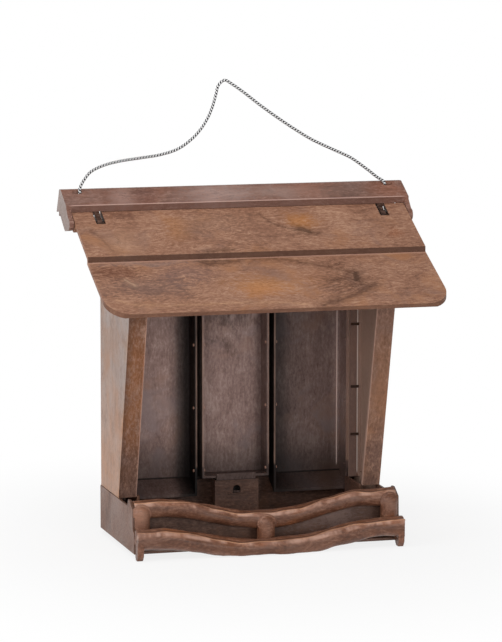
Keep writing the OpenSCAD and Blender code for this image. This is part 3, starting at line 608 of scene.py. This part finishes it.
ROOF = ((148, 106, 84), (186, 145, 119), (102, 68, 53), (162, 112, 78), (134, 101, 87))
CAP = ((124, 89, 76), (166, 132, 119), (84, 53, 43), (131, 84, 65), (140, 112, 103))
POST = ((126, 92, 76), (164, 128, 108), (80, 55, 44), (144, 97, 66), (120, 96, 88))
# BAY is the same plastic painted lighter, as painted light for the shaded inside of the house
BAY = ((164, 135, 127), (206, 179, 169), (114, 88, 81), (168, 131, 114), (160, 139, 137))
CLIP = ((70, 50, 42), (92, 68, 58), (50, 35, 29), (78, 54, 42), (66, 52, 48))
TRAY = ((90, 63, 51), (128, 97, 82), (56, 37, 29), (104, 70, 50), (90, 71, 65))
RAIL = ((106, 68, 50), (156, 114, 92), (56, 33, 23), (134, 82, 52), (124, 88, 72))
HOOK = ((62, 42, 34), (120, 92, 80), (36, 24, 19), (74, 48, 36), (64, 48, 42))
# Low, high, grey and stained tints of outer side faces; the grey is a painted sheen
CAP_SIDES = ((150, 134, 128), (156, 142, 136), (168, 156, 150), (110, 88, 80))
WALL_SIDES = ((176, 128, 96), (160, 134, 120), (152, 142, 139), (108, 80, 66))
TRAY_SIDES = ((118, 84, 68), (126, 92, 76), (122, 98, 88), (76, 53, 43))

# Half widths of cap, house and tray, in mm
CAP_X, WALL_X, CHEEK_X = 141, 107.5, 108.2
# The roof's slope in degrees, its front's y, its step and its notches
ROOF_PITCH = 25
ROOF_FRONT = -62
STEP_Y, STEP_Z = BACK_Y - 89.4, 229.9
NOTCH_X, NOTCH_Y, NOTCH_Z = 116.3, 38, 250
# The cap's lip and the mouths of the cord's holes
LIP_Y, LIP_Z = BACK_Y - 33.4, 263.4
HOLE_X, HOLE_Z = 126, 267
# The walls' inner rib, beside the bays' flanges, and the inner edge of their front lips
RIB_Y = BACK_Y - 24.9
WALL_LIP_X = 93.1
# Middle of the painted shade (a dark layer) at the back wall's front, the side bays' webs,
# the bays' front edges and the nubs in them
BACK_SHADE_Y = BACK_Y - 2.4
WEB_Y = BACK_Y - 4.8
BAY_FRONT_Y = BACK_Y - 22
NUB_Y = BACK_Y - 19.8
# Strips across the bays where only the nubs' tips lie, which get a painted highlight: middle
# and half width
NUB_STRIPS = ((25.35, 0.6), (34.6, 0.65))
# Bead on each side bay's web: middle across and size
BEAD_X = 90.1
BEAD_SIZE = (0.7, 1.1, 190)
BEAD_Y, BEAD_Z = BACK_Y - 4.75, 145
# Middle of the painted shade in the latch box and its window
LATCH_Y = BACK_Y - 21.2

Rail = namedtuple("Rail", "depth height radius sag sag_x seed")
UPPER = Rail(depth=105.6, height=36.4, radius=7.0, sag=12.6, sag_x=77, seed=1.7)
LOWER = Rail(depth=123.0, height=15.7, radius=8.0, sag=12.0, sag_x=88, seed=8.3)
# How far the outer stubs stand from the middle
STUB_X = 100.8
# The look that all log-like pieces share
LOG = {"warp": 0.012, "rough": 0.4, "contrast": 0.75, "specular": 0.35, "mottle": 1.3,
       "relief": 0.6}


def pair(x, y, z, half, tint, amount):
    """The same box at x and at -x, for Wood.lay_boxes."""
    return [((side * x, y, z), half, tint, amount) for side in (1, -1)]


# Marks on the boards, as Wood.lay_strokes takes them
ROOF_STROKES = [
    ([(-47, -16.5), (-39, -18.1), (-31, -18.3), (-22, -15.5), (-14, -13.6), (-5, -12.6),
      (7, -13.5), (23, -16.5), (37, -21.5), (49, -26.5), (60, -31.2), (68, -35)],
     2.8, (94, 60, 42), 0.62, 0.32),
    ([(70.8, -36.5), (68.6, -45.5)], 5.6, (76, 48, 33), 0.92, 0.35),
    ([(66, -34), (60, -40), (55, -43)], 2.4, (96, 62, 46), 0.5, 0.25),
    ([(82, -52), (76, -54.5), (70, -59), (62, -64.5), (52, -68.5), (42, -72.5), (33, -76)],
     4.6, (88, 57, 41), 0.72, 0.36),
    ([(50, -46), (57, -43.5), (63, -44.5)], 1.6, (88, 56, 38), 0.5, 0.25),
    ([(47, -52.5), (57, -54), (66, -52), (73, -48.5)], 1.6, (88, 56, 38), 0.5, 0.25),
    ([(-126, -61), (-114, -67), (-92, -69.5), (-60, -70), (-30, -68.5), (0, -70.5),
      (20, -73)], 2.4, (190, 146, 112), 0.35, 0.15),
    ([(-46, -13.4), (-36, -14.6), (-26, -14)], 3.4, (88, 60, 44), 0.6, 0.3),
    ([(-113, -35), (-110.5, -38), (-107.5, -42.5)], 2.0, (208, 172, 142), 0.4, 0.15),
    ([(14, 36.5), (18, 28.5), (23, 22.5), (31, 17.9), (39, 15.5), (45, 13.5), (51, 11.5),
      (56, 9.5)], 1.6, (92, 60, 44), 0.6, 0.3),
    ([(40.5, 16.5), (44, 14.8), (47.5, 12.5)], 4.0, (80, 53, 36), 0.7, 0.35),
    ([(-41, -8.4), (-30, -8.0), (-19, -7.4)], 2.2, (88, 58, 40), 0.6, 0.3),
    ([(-128, 26), (-121, 12), (-115, -5)], 3.4, (98, 64, 49), 0.45, 0.3),
]
roof_mat = wood(
    "roof_wood", ROOF, warp=0.012, mottle=1.2, relief=0.8,
    patches=[
        ((46, 26, 250), (14, 11, 60), (172, 112, 58), 0.7),
        ((-60, 22, 248), (12, 17, 60), (168, 114, 70), 0.5),
        ((-5, -47, 208), (36, 12, 60), (184, 126, 74), 0.6),
        ((-7, -56, 206), (28, 9, 60), (182, 122, 74), 0.55),
        ((30, -40, 208), (46, 14, 60), (160, 110, 80), 0.3),
        ((-116, -25, 220), (24, 11, 60), (108, 66, 47), 0.75),
        ((-96, -46, 214), (40, 15, 60), (118, 90, 80), 0.7),
        ((-62, -30, 218), (26, 14, 60), (128, 98, 90), 0.5),
        # Painted highlight on the lower board just below the step
        ((-90, -14, 224), (44, 4, 60), (140, 116, 108), 0.55),
        ((-107, 5, 238), (18, 16, 60), (184, 144, 116), 0.35),
        ((-98, 40, 254), (16, 6, 60), (118, 80, 64), 0.6),
        ((-30, 28, 250), (30, 16, 60), (138, 104, 86), 0.45),
        ((5, 9, 240), (30, 12, 60), (130, 92, 74), 0.4),
        ((118, 9, 240), (8, 7, 60), (146, 90, 60), 0.5),
        ((60, -48, 208), (16, 12, 60), (134, 94, 74), 0.45),
    ],
    strokes=ROOF_STROKES,
    bands=([(36, -20), (60, -30), (74, -41), (83, -52), (62, -65), (40, -74)], 3.4,
           (56, -49), (27, 20), (88, 57, 41), 0.6),
    # Painted shade on the roof's front edge
    rim=(ROOF_PITCH, ROOF_FRONT, (92, 60, 45), 0.7),
    # Painted shade at the step and in the hinge notches, and a painted highlight on the lower
    # board below the step
    boxes=[((0, STEP_Y, STEP_Z), (140, 0.5, 2.5), (76, 48, 35), 0.88),
           ((0, STEP_Y - 1.4, STEP_Z - 2.9), (140, 0.8, 4), (190, 150, 132), 0.45)]
    + pair(NOTCH_X, NOTCH_Y, NOTCH_Z, (3.75, 8, 20), (34, 24, 20), 0.9))
cap_mat = wood(
    "cap_wood", CAP, warp=0.010, rough=0.46, shift=(0.4, 0.1, 0.2), mottle=1.15,
    outer=(CAP_SIDES, CAP_X, 0.8, 240, 275),
    patches=[
        ((-15, 55, 272), (32, 14, 30), (176, 150, 142), 0.6),
        ((34, 56, 272), (30, 9, 30), (166, 140, 130), 0.55),
        ((-93, 55, 272), (10, 14, 30), (168, 138, 128), 0.5),
        ((-74, 56, 272), (12, 14, 30), (112, 76, 66), 0.55),
        ((60, 54, 272), (16, 12, 30), (154, 112, 96), 0.5),
        ((92, 56, 272), (26, 9, 30), (122, 96, 86), 0.55),
        ((128, 55, 272), (18, 16, 30), (144, 92, 70), 0.55),
    ],
    # Painted shade on the lip's front face and in the cord's holes, and a painted highlight
    # along the lip's top edge
    boxes=[((0, LIP_Y, LIP_Z), (137, 0.5, 2.6), (86, 54, 42), 0.62),
           ((0, LIP_Y + 0.1, LIP_Z + 2.9), (137, 0.7, 0.35), (206, 170, 158), 0.6)]
    + pair(HOLE_X, CORD_Y, HOLE_Z, (3.5, 3.5, 3.2), (34, 25, 22), 0.9))
wall_mat = wood(
    "wall_wood", POST, "z", warp=0.006, rough=0.48, shift=(0.7, 0.3, 0.1), contrast=1.1,
    outer=(WALL_SIDES, WALL_X, 0.92, 40, 190),
    # Painted shade along the left post's outer corner; painted highlights at the lips' inner
    # edges and the right post's outer corner
    shades=[(-107.5, 0.55), (-106, 0.72), (-102, 0.95), (-94.2, 0.95), (-93.6, 1.25),
            (-92.9, 1.3), (93.0, 1.1), (94.2, 0.95), (104, 0.95), (107, 1.1)],
    patches=[
        ((-100, -30, 195), (12, 60, 24), (84, 60, 53), 0.85),
        ((-100, -30, 135), (12, 60, 56), (140, 89, 55), 0.85),
        ((-101, -8, 62), (10, 60, 16), (96, 68, 56), 0.6),
        ((101, -30, 200), (10, 60, 20), (124, 96, 88), 0.8),
        ((101, -20, 120), (10, 60, 60), (142, 100, 74), 0.6),
        ((101, -8, 62), (10, 60, 24), (112, 84, 74), 0.7),
    ],
    # Painted light on the walls' inner faces, which are in shade
    inner=((190, 158, 142), 0.75),
    # The rib tinted greyer; painted light on the walls' inner faces beside it, and painted
    # highlights along the lips' inner edges and the rib's edge
    boxes=pair(97.8, RIB_Y, 130, (3.2, 0.8, 110), (136, 112, 104), 0.7)
    + pair(103.2, RIB_Y, 130, (1.3, 0.8, 110), (180, 150, 136), 0.7)
    + pair(WALL_LIP_X, -30, 120, (0.35, 50, 100), (188, 152, 136), 0.6)
    + pair(101.3, RIB_Y, 150, (0.45, 0.8, 108), (236, 222, 214), 0.8))
# Painted shade on the back wall's front, seen in the gaps between the bays
back_mat = wood("back_wood", POST, "z", warp=0.006, shift=(0.2, 0.9, 0.4),
                boxes=[((0, BACK_SHADE_Y, 150), (110, 1.2, 140), (26, 20, 18), 0.92)])
# Painted highlights on the webs' beads and painted shade where the side bays' webs meet their
# floors
bay_boxes = (pair(BEAD_X, WEB_Y - 0.1, 150, (0.45, 0.75, 104), (240, 214, 204), 0.85)
             + pair(63.2, WEB_Y, 40.9, (31, 0.9, 0.6), (24, 18, 15), 0.8))
for strip_x, strip_half in NUB_STRIPS:
    bay_boxes += pair(strip_x, NUB_Y, 125, (strip_half, 1.7, 82), (186, 144, 126), 0.75)
bay_mat = wood(
    "bay_wood", BAY, "z", warp=0.006, contrast=0.75, shift=(0.9, 0.2, 0.6), mottle=1.4,
    # Painted highlights on the bays' front edges, and painted shade darker towards the bottom
    edge=((158, 126, 110), BAY_FRONT_Y + 0.1, 50, 0.7), fall=(40, 84, 0.33),
    # Painted shade: the fins' shadows on the webs, the gaps between bays near black, and the
    # right bay darker
    shades=[(-96, 0.9), (-70, 1.1), (-52, 1.12), (-47, 0.75), (-43.3, 0.3), (-38, 0.1),
            (-34, 0.06), (-32, 0.05), (-27.6, 0.05), (-27.4, 0.86), (-20, 0.9), (0, 0.93),
            (20, 0.84), (25.9, 0.56), (27.6, 0.4), (27.8, 0.05), (32, 0.05), (32.2, 0.14),
            (38, 0.14), (44.6, 0.22), (52, 0.4), (66, 0.52), (84, 0.58), (90, 0.75),
            (105, 0.7)],
    # Painted shadow of the roof at the top of the centre web
    patches=[((0, 73, 186), (34, 14, 32), (88, 70, 65), 0.95)], fray=0.6,
    boxes=bay_boxes)
clip_mat = wood("clip_wood", CLIP)
tray_mat = wood(
    "tray_wood", TRAY, warp=0.006, rough=0.46, shift=(0.1, 0.6, 0.8), specular=0.3,
    outer=(TRAY_SIDES, CHEEK_X, 0.88, 4, 40),
    patches=[((48, -26, 26), (40, 16, 16), (156, 128, 118), 0.7),
             ((66, -42, 20), (34, 8, 22), (146, 108, 92), 0.6)],
    # Painted shade inside the latch box and its window
    boxes=[((0, LATCH_Y, 24), (17, 4.0, 18), (20, 15, 13), 0.95)])
stub_mat = wood("stub_wood", RAIL, shift=(0.5, 0.5, 0.3),
                patches=[((-STUB_X, -32, 36), (9, 20, 14), (158, 114, 92), 0.6)], **LOG)
# The rails get painted light and shade round them, and painted highlights
upper_mat = wood("upper_rail_wood", RAIL, shift=(0.5, 0.1, 0.3), crease=UPPER, **LOG)
lower_mat = wood("lower_rail_wood", RAIL, shift=(0.5, 0.5, 0.9), crease=LOWER, **LOG)
hook_mat = wood("hook_wood", HOOK, rough=0.48, shift=(0.4, 0.1, 0.2), specular=0.15)
steel_mat = metal("steel", (120, 119, 118), 0.45)
bar_mat = metal("hinge_bar_steel", (96, 78, 70), 0.5)
knot_mat = cord_material("knot_braid", 0.8)

# Nodes that keep their own mesh
for names, mat in (
        (("left_wall_clips", "right_wall_clips"), clip_mat),
        (("left_hinge_bar", "right_hinge_bar"), bar_mat),
        (("cap_screws", "left_pivot_pin", "right_pivot_pin"), steel_mat),
        (("left_cord_knot", "right_cord_knot"), knot_mat)):
    for name in names:
        set_material(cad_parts[name], mat)


# Shells

def baked(ob, name):
    """A new object with ob's mesh after its modifiers; ob is removed."""
    graph = bpy.context.evaluated_depsgraph_get()
    mesh = bpy.data.meshes.new_from_object(ob.evaluated_get(graph), depsgraph=graph)
    mesh.name = name
    bpy.data.objects.remove(ob)
    out = bpy.data.objects.new(name, mesh)
    bpy.context.collection.objects.link(out)
    return out


def copied(node):
    """A plain copy of a node's object and mesh."""
    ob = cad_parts[node].copy()
    ob.data = ob.data.copy()
    ob.parent = None
    for key in list(ob.keys()):
        del ob[key]
    bpy.context.collection.objects.link(ob)
    return ob


def add_web_bead(bm, side):
    """Adds the upright bead on a side bay's web to its mesh."""
    place = Matrix.Translation(Vector((side * BEAD_X, BEAD_Y, BEAD_Z)) * MM)
    bmesh.ops.create_cube(bm, size=1,
                          matrix=place @ Matrix.Diagonal(Vector(BEAD_SIZE) * MM).to_4x4())


def rounded(node, width):
    """The node's own shape with its edges rounded as a moulding's are."""
    ob = copied(node)
    bm = bmesh.new()
    bm.from_mesh(ob.data)
    if node in ("left_bay", "right_bay"):
        add_web_bead(bm, -1 if node == "left_bay" else 1)
    bmesh.ops.remove_doubles(bm, verts=bm.verts, dist=SAME_PLACE)
    bmesh.ops.dissolve_limit(bm, angle_limit=math.radians(FLAT_ANGLE), verts=bm.verts,
                             edges=bm.edges, use_dissolve_boundaries=False)
    bm.to_mesh(ob.data)
    bm.free()
    mod = ob.modifiers.new("bevel", "BEVEL")
    mod.width = width
    mod.segments = 2
    mod.limit_method = "ANGLE"
    mod.angle_limit = math.radians(ROUNDED_ANGLE)
    mod.use_clamp_overlap = True
    mod.miter_outer = "MITER_ARC"
    ob = baked(ob, node + "_shell")
    for poly in ob.data.polygons:
        poly.use_smooth = True
    ob.data.set_sharp_from_angle(angle=math.radians(SHARP_ANGLE))
    mod = ob.modifiers.new("normals", "WEIGHTED_NORMAL")
    mod.keep_sharp = True
    return ob


def stands_for(ob, node, body, mat):
    set_material(ob, mat)
    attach(ob, body)
    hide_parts(node)


# Corners nearer than this, in metres, are one; below the first angle, in degrees, faces
# are one, above the second an edge is rounded, and above the third it stays sharp
SAME_PLACE = 2e-6
FLAT_ANGLE, ROUNDED_ANGLE, SHARP_ANGLE = 0.6, 34, 50
# Node, body, width of the rounded edges in mm, material, slot
SHELLS = (
    ("ridge_cap", "house", 0.55, cap_mat, "cap_brown"),
    ("roof_panel", "roof", 0.6, roof_mat, "roof_brown"),
    ("left_wall", "house", 0.6, wall_mat, "wall_brown"),
    ("right_wall", "house", 0.6, wall_mat, "wall_brown"),
    ("back_wall", "house", 0.4, back_mat, "wall_brown"),
    ("tray", "house", 0.5, tray_mat, "tray_brown"),
    ("latch_box", "house", 0.3, tray_mat, "tray_brown"),
    ("snap_tongue", "house", 0.25, bay_mat, "bay_brown"),
    ("left_bay", "house", 0.3, bay_mat, "bay_brown"),
    ("centre_bay", "house", 0.3, bay_mat, "bay_brown"),
    ("right_bay", "house", 0.3, bay_mat, "bay_brown"),
    ("left_hinge_hook", "house", 0.5, hook_mat, "cap_brown"),
    ("right_hinge_hook", "house", 0.5, hook_mat, "cap_brown"),
)
for node, body, width, mat, slot_name in SHELLS:
    stands_for(rounded(node, width * MM), node, body, mat)


# Rails and stubs, like cast logs

# Heights of a rail's swellings, dimples, grain, crease and the dent beside it, in mm
SWELL, DIMPLE, GRAIN, RIDGE, DENT = 0.9, 0.22, 0.04, 0.45, 0.35
# Runs of the first two, in mm along the rail and degrees round it, and of the grain, in mm
# along and across it
SWELL_RUN, DIMPLE_RUN, GRAIN_RUN = (15, 60), (8, 34), (3, 0.9)
# Widths of the crease and of the dent, and how far apart they lie, in mm
RIDGE_WIDTH, DENT_WIDTH, DENT_AT = 0.9, 1.3, 2.1
# The round of the log: angles above its front, in degrees, and how near to its radius, in mm
ROUND_FROM, ROUND_TO, ROUND_WITHIN = -20, 120, 2
# Height of a stub's swellings and their runs across and up it, in mm
STUB_SWELL, STUB_ACROSS, STUB_UP = 0.28, 7, 11
# Voxels of rails and stubs in metres, and the passes that soften them
RAIL_VOXEL, RAIL_PASSES = 0.00055, 3
STUB_VOXEL, STUB_PASSES = 0.0005, 5
# A stub's dome: rise over the rail's axis and radius, in mm
STUB_RISE, STUB_R = 4.2, 7.0
# The bead round a stub's dome, in mm: how far forward of the rail's axis, radius, tube's
# radius, the angles it runs between and how far out it may reach
RING_AHEAD, RING_R, RING_TUBE = 6.6, 7.1, 0.95
RING_FROM, RING_TO = -35, 215
RING_LIMIT = 107.6
RING_STEPS, RING_SIDES = 40, 10


def ring_bead(centre):
    """Points and faces of a bead along an arc, seen from the front, with thin ends."""
    verts, faces = [], []
    for i in range(RING_STEPS + 1):
        turn = math.radians(RING_FROM + (RING_TO - RING_FROM) * i / RING_STEPS)
        out = Vector((math.cos(turn), 0, math.sin(turn)))
        taper = min(1.0, 8 * min(i, RING_STEPS - i) / RING_STEPS + 0.15)
        for k in range(RING_SIDES):
            a = 2 * math.pi * k / RING_SIDES
            offset = out * math.cos(a) + Vector((0, 1, 0)) * math.sin(a)
            v = centre * MM + out * RING_R * MM + offset * RING_TUBE * MM * taper
            v.x = max(-RING_LIMIT * MM, min(RING_LIMIT * MM, v.x))
            verts.append(v)
    for i in range(RING_STEPS):
        for k in range(RING_SIDES):
            a, b = i * RING_SIDES + k, i * RING_SIDES + (k + 1) % RING_SIDES
            faces.append((a, b, b + RING_SIDES, a + RING_SIDES))
    faces.append(tuple(reversed(range(RING_SIDES))))
    faces.append(tuple(RING_STEPS * RING_SIDES + k for k in range(RING_SIDES)))
    return verts, faces


def moulded(node, voxel, passes, shape, added=None):
    """The node's own shape, remeshed and softened like a cast log, level underneath."""
    ob = copied(node)
    if added is not None:
        bm = bmesh.new()
        bm.from_mesh(ob.data)
        verts = [bm.verts.new(v) for v in added[0]]
        for face in added[1]:
            bm.faces.new([verts[i] for i in face])
        bm.to_mesh(ob.data)
        bm.free()
    mod = ob.modifiers.new("remesh", "REMESH")
    mod.mode = "VOXEL"
    mod.voxel_size = voxel
    mod.use_smooth_shade = True
    mod = ob.modifiers.new("soft", "SMOOTH")
    mod.factor = 0.5
    mod.iterations = passes
    ob = baked(ob, node + "_log")
    normals = [v.normal.copy() for v in ob.data.vertices]
    for v, n in zip(ob.data.vertices, normals):
        v.co += n * shape(v.co)
        v.co.z = max(v.co.z, 0.0)
    for poly in ob.data.polygons:
        poly.use_smooth = True
    return ob


def sag_drop(x, sag, sag_x):
    """How far a rail's axis lies below its ends, in mm, at x."""
    t = min(1, abs(x) / sag_x)
    return sag * (1 - t * t) ** 2 * (1 + SAG_FULLNESS * t * t)


def bell(value, width):
    return math.exp(-(value / width) ** 2)


def log_surface(rail):
    """Bark-like swellings of a rail, and the crease that runs along its upper front."""
    def shape(co):
        x = co.x / MM
        forward = BACK_Y - co.y / MM - rail.depth
        up = co.z / MM - (rail.height - sag_drop(x, rail.sag, rail.sag_x))
        turn = math.degrees(math.atan2(up, forward))
        along, around = SWELL_RUN
        swell = noise.noise(Vector((x / along + rail.seed, turn / around, rail.seed)))
        along, around = DIMPLE_RUN
        dimple = noise.noise(Vector((x / along, turn / around, rail.seed + 5)))
        along, across = GRAIN_RUN
        grain = noise.noise(Vector((x / along, co.y / MM / across, co.z / MM / across)))
        out = SWELL * swell + DIMPLE * dimple + GRAIN * grain
        # The crease is on the round of the log only, not on what joins it
        off_round = abs(math.hypot(forward, up) - rail.radius)
        if ROUND_FROM < turn < ROUND_TO and off_round < ROUND_WITHIN:
            line = CREASE_AT + sum(by * math.sin(x / run + share * rail.seed)
                                   for run, share, by in CREASE_WAVES)
            off = (turn - line) * rail.radius * math.pi / 180
            lift = 0.85 + 0.5 * noise.noise(Vector((x / 11, 4.1, rail.seed)))
            out += RIDGE * lift * bell(off, RIDGE_WIDTH)
            out -= DENT * bell(off - DENT_AT, DENT_WIDTH)
        return out * MM
    return shape


def stub_surface(co):
    swell = noise.noise(Vector((co.x / MM / STUB_ACROSS, co.y / MM / STUB_ACROSS,
                                co.z / MM / STUB_UP)))
    return STUB_SWELL * swell * MM


for node, rail, mat in (("upper_rail", UPPER, upper_mat), ("lower_rail", LOWER, lower_mat)):
    piece = moulded(node, RAIL_VOXEL, RAIL_PASSES, log_surface(rail))
    stands_for(piece, node, "house", mat)
for node, x in (("left_stub", -STUB_X), ("centre_stub", 0), ("right_stub", STUB_X)):
    dome_z = UPPER.height - sag_drop(x, UPPER.sag, UPPER.sag_x) + STUB_RISE - STUB_R
    ring = ring_bead(Vector((x, BACK_Y - UPPER.depth - RING_AHEAD, dome_z)))
    piece = moulded(node, STUB_VOXEL, STUB_PASSES, stub_surface, ring)
    stands_for(piece, node, "house", stub_mat)


# Stage

# Height of the floor's top, a hair under the object's feet, in metres
FLOOR_Z = -0.0005
# Distances from the middle between which the camera comes to see the floor as white, and
# the share of that white that it sees nearer in
SHADE_FROM, SHADE_TO = 0.12, 0.36
NEAR_WHITE = 0.82
WORLD_LIGHT = 0.35


def pale(name, shade):
    """Pale floor that the camera sees as white, but for the shadow round the object."""
    g = Graph(name)
    grain = g.noise(g.pos, 9, 2, 0.5)
    g.finish(g.mix(g.map(grain, 0.3, 0.7), (shade, shade, shade, 1),
                   (shade * 0.985, shade * 0.985, shade * 0.985, 1)), 0.9, 0.1)
    path = g.tree.nodes.new("ShaderNodeLightPath")
    seen = g.math("MAXIMUM", path.outputs["Is Camera Ray"], path.outputs["Is Glossy Ray"])
    seen = g.math("MAXIMUM", seen, path.outputs["Is Transmission Ray"])
    away = g.vec("LENGTH", g.vec("MULTIPLY", g.pos, (1, 0.8, 1)))
    away = g.map(away, SHADE_FROM, SHADE_TO, NEAR_WHITE, 1.0)
    white = g.tree.nodes.new("ShaderNodeEmission")
    white.inputs["Strength"].default_value = 1.0
    blend = g.tree.nodes.new("ShaderNodeMixShader")
    g.put(blend.inputs["Fac"], g.math("MULTIPLY", seen, away))
    g.tree.links.new(g.bsdf.outputs[0], blend.inputs[1])
    g.tree.links.new(white.outputs[0], blend.inputs[2])
    g.tree.links.new(blend.outputs[0], g.out.inputs["Surface"])
    return g.mat


def sweep(name, half, front, back, bend, top):
    """Pale floor that curves up into a backdrop."""
    line = [(front, FLOOR_Z), (back, FLOOR_Z)]
    steps = 24
    for i in range(1, steps + 1):
        turn = math.pi / 2 * i / steps
        line.append((back + bend * math.sin(turn), bend * (1 - math.cos(turn)) + FLOOR_Z))
    line.append((back + bend, top))
    verts = [(x, y, z) for y, z in line for x in (-half, half)]
    faces = [(2 * i, 2 * i + 1, 2 * i + 3, 2 * i + 2) for i in range(len(line) - 1)]
    return new_object(name, verts, faces)


floor = sweep("floor", half=9, front=-9, back=5.0, bend=1.5, top=6)
set_material(floor, pale("floor_white", shade=0.9))


def area_light(name, place, aim_at, size, power):
    data = bpy.data.lights.new(name, "AREA")
    data.shape = "RECTANGLE"
    data.size, data.size_y = size
    data.energy = power
    ob = bpy.data.objects.new(name, data)
    bpy.context.collection.objects.link(ob)
    place, aim_at = Vector(place), Vector(aim_at)
    ob.matrix_world = (Matrix.Translation(place)
                       @ (aim_at - place).to_track_quat("-Z", "Y").to_matrix().to_4x4())


# Name, place, what it is turned to, size, and power in watts
area_light("key", (-2.0, -0.6, 1.0), (0, 0, 0.15), (1.2, 1.4), 19)
area_light("top", (-0.2, 0.2, 2.1), (0, 0, 0.1), (1.6, 1.2), 3)
area_light("high", (-0.5, -1.4, 1.9), (0, 0, 0.12), (1.2, 0.5), 14)
area_light("front", (-1.2, -2.8, 0.75), (0, 0, 0.12), (2.0, 1.0), 15)
area_light("fill", (0.95, -2.7, 0.6), (0, 0, 0.12), (1.0, 1.0), 13)
world = bpy.data.worlds.new("studio")
bpy.context.scene.world = world
world.use_nodes = True
tree = world.node_tree
studio = tree.nodes["Background"]
studio.inputs["Color"].default_value = (1, 1, 1, 1)
studio.inputs["Strength"].default_value = WORLD_LIGHT
white = tree.nodes.new("ShaderNodeBackground")
white.inputs["Color"].default_value = (1, 1, 1, 1)
white.inputs["Strength"].default_value = 1.0
path = tree.nodes.new("ShaderNodeLightPath")
blend = tree.nodes.new("ShaderNodeMixShader")
tree.links.new(path.outputs["Is Camera Ray"], blend.inputs[0])
tree.links.new(studio.outputs[0], blend.inputs[1])
tree.links.new(white.outputs[0], blend.inputs[2])
tree.links.new(blend.outputs[0], tree.nodes["World Output"].inputs["Surface"])
bpy.context.scene.view_settings.view_transform = "Standard"
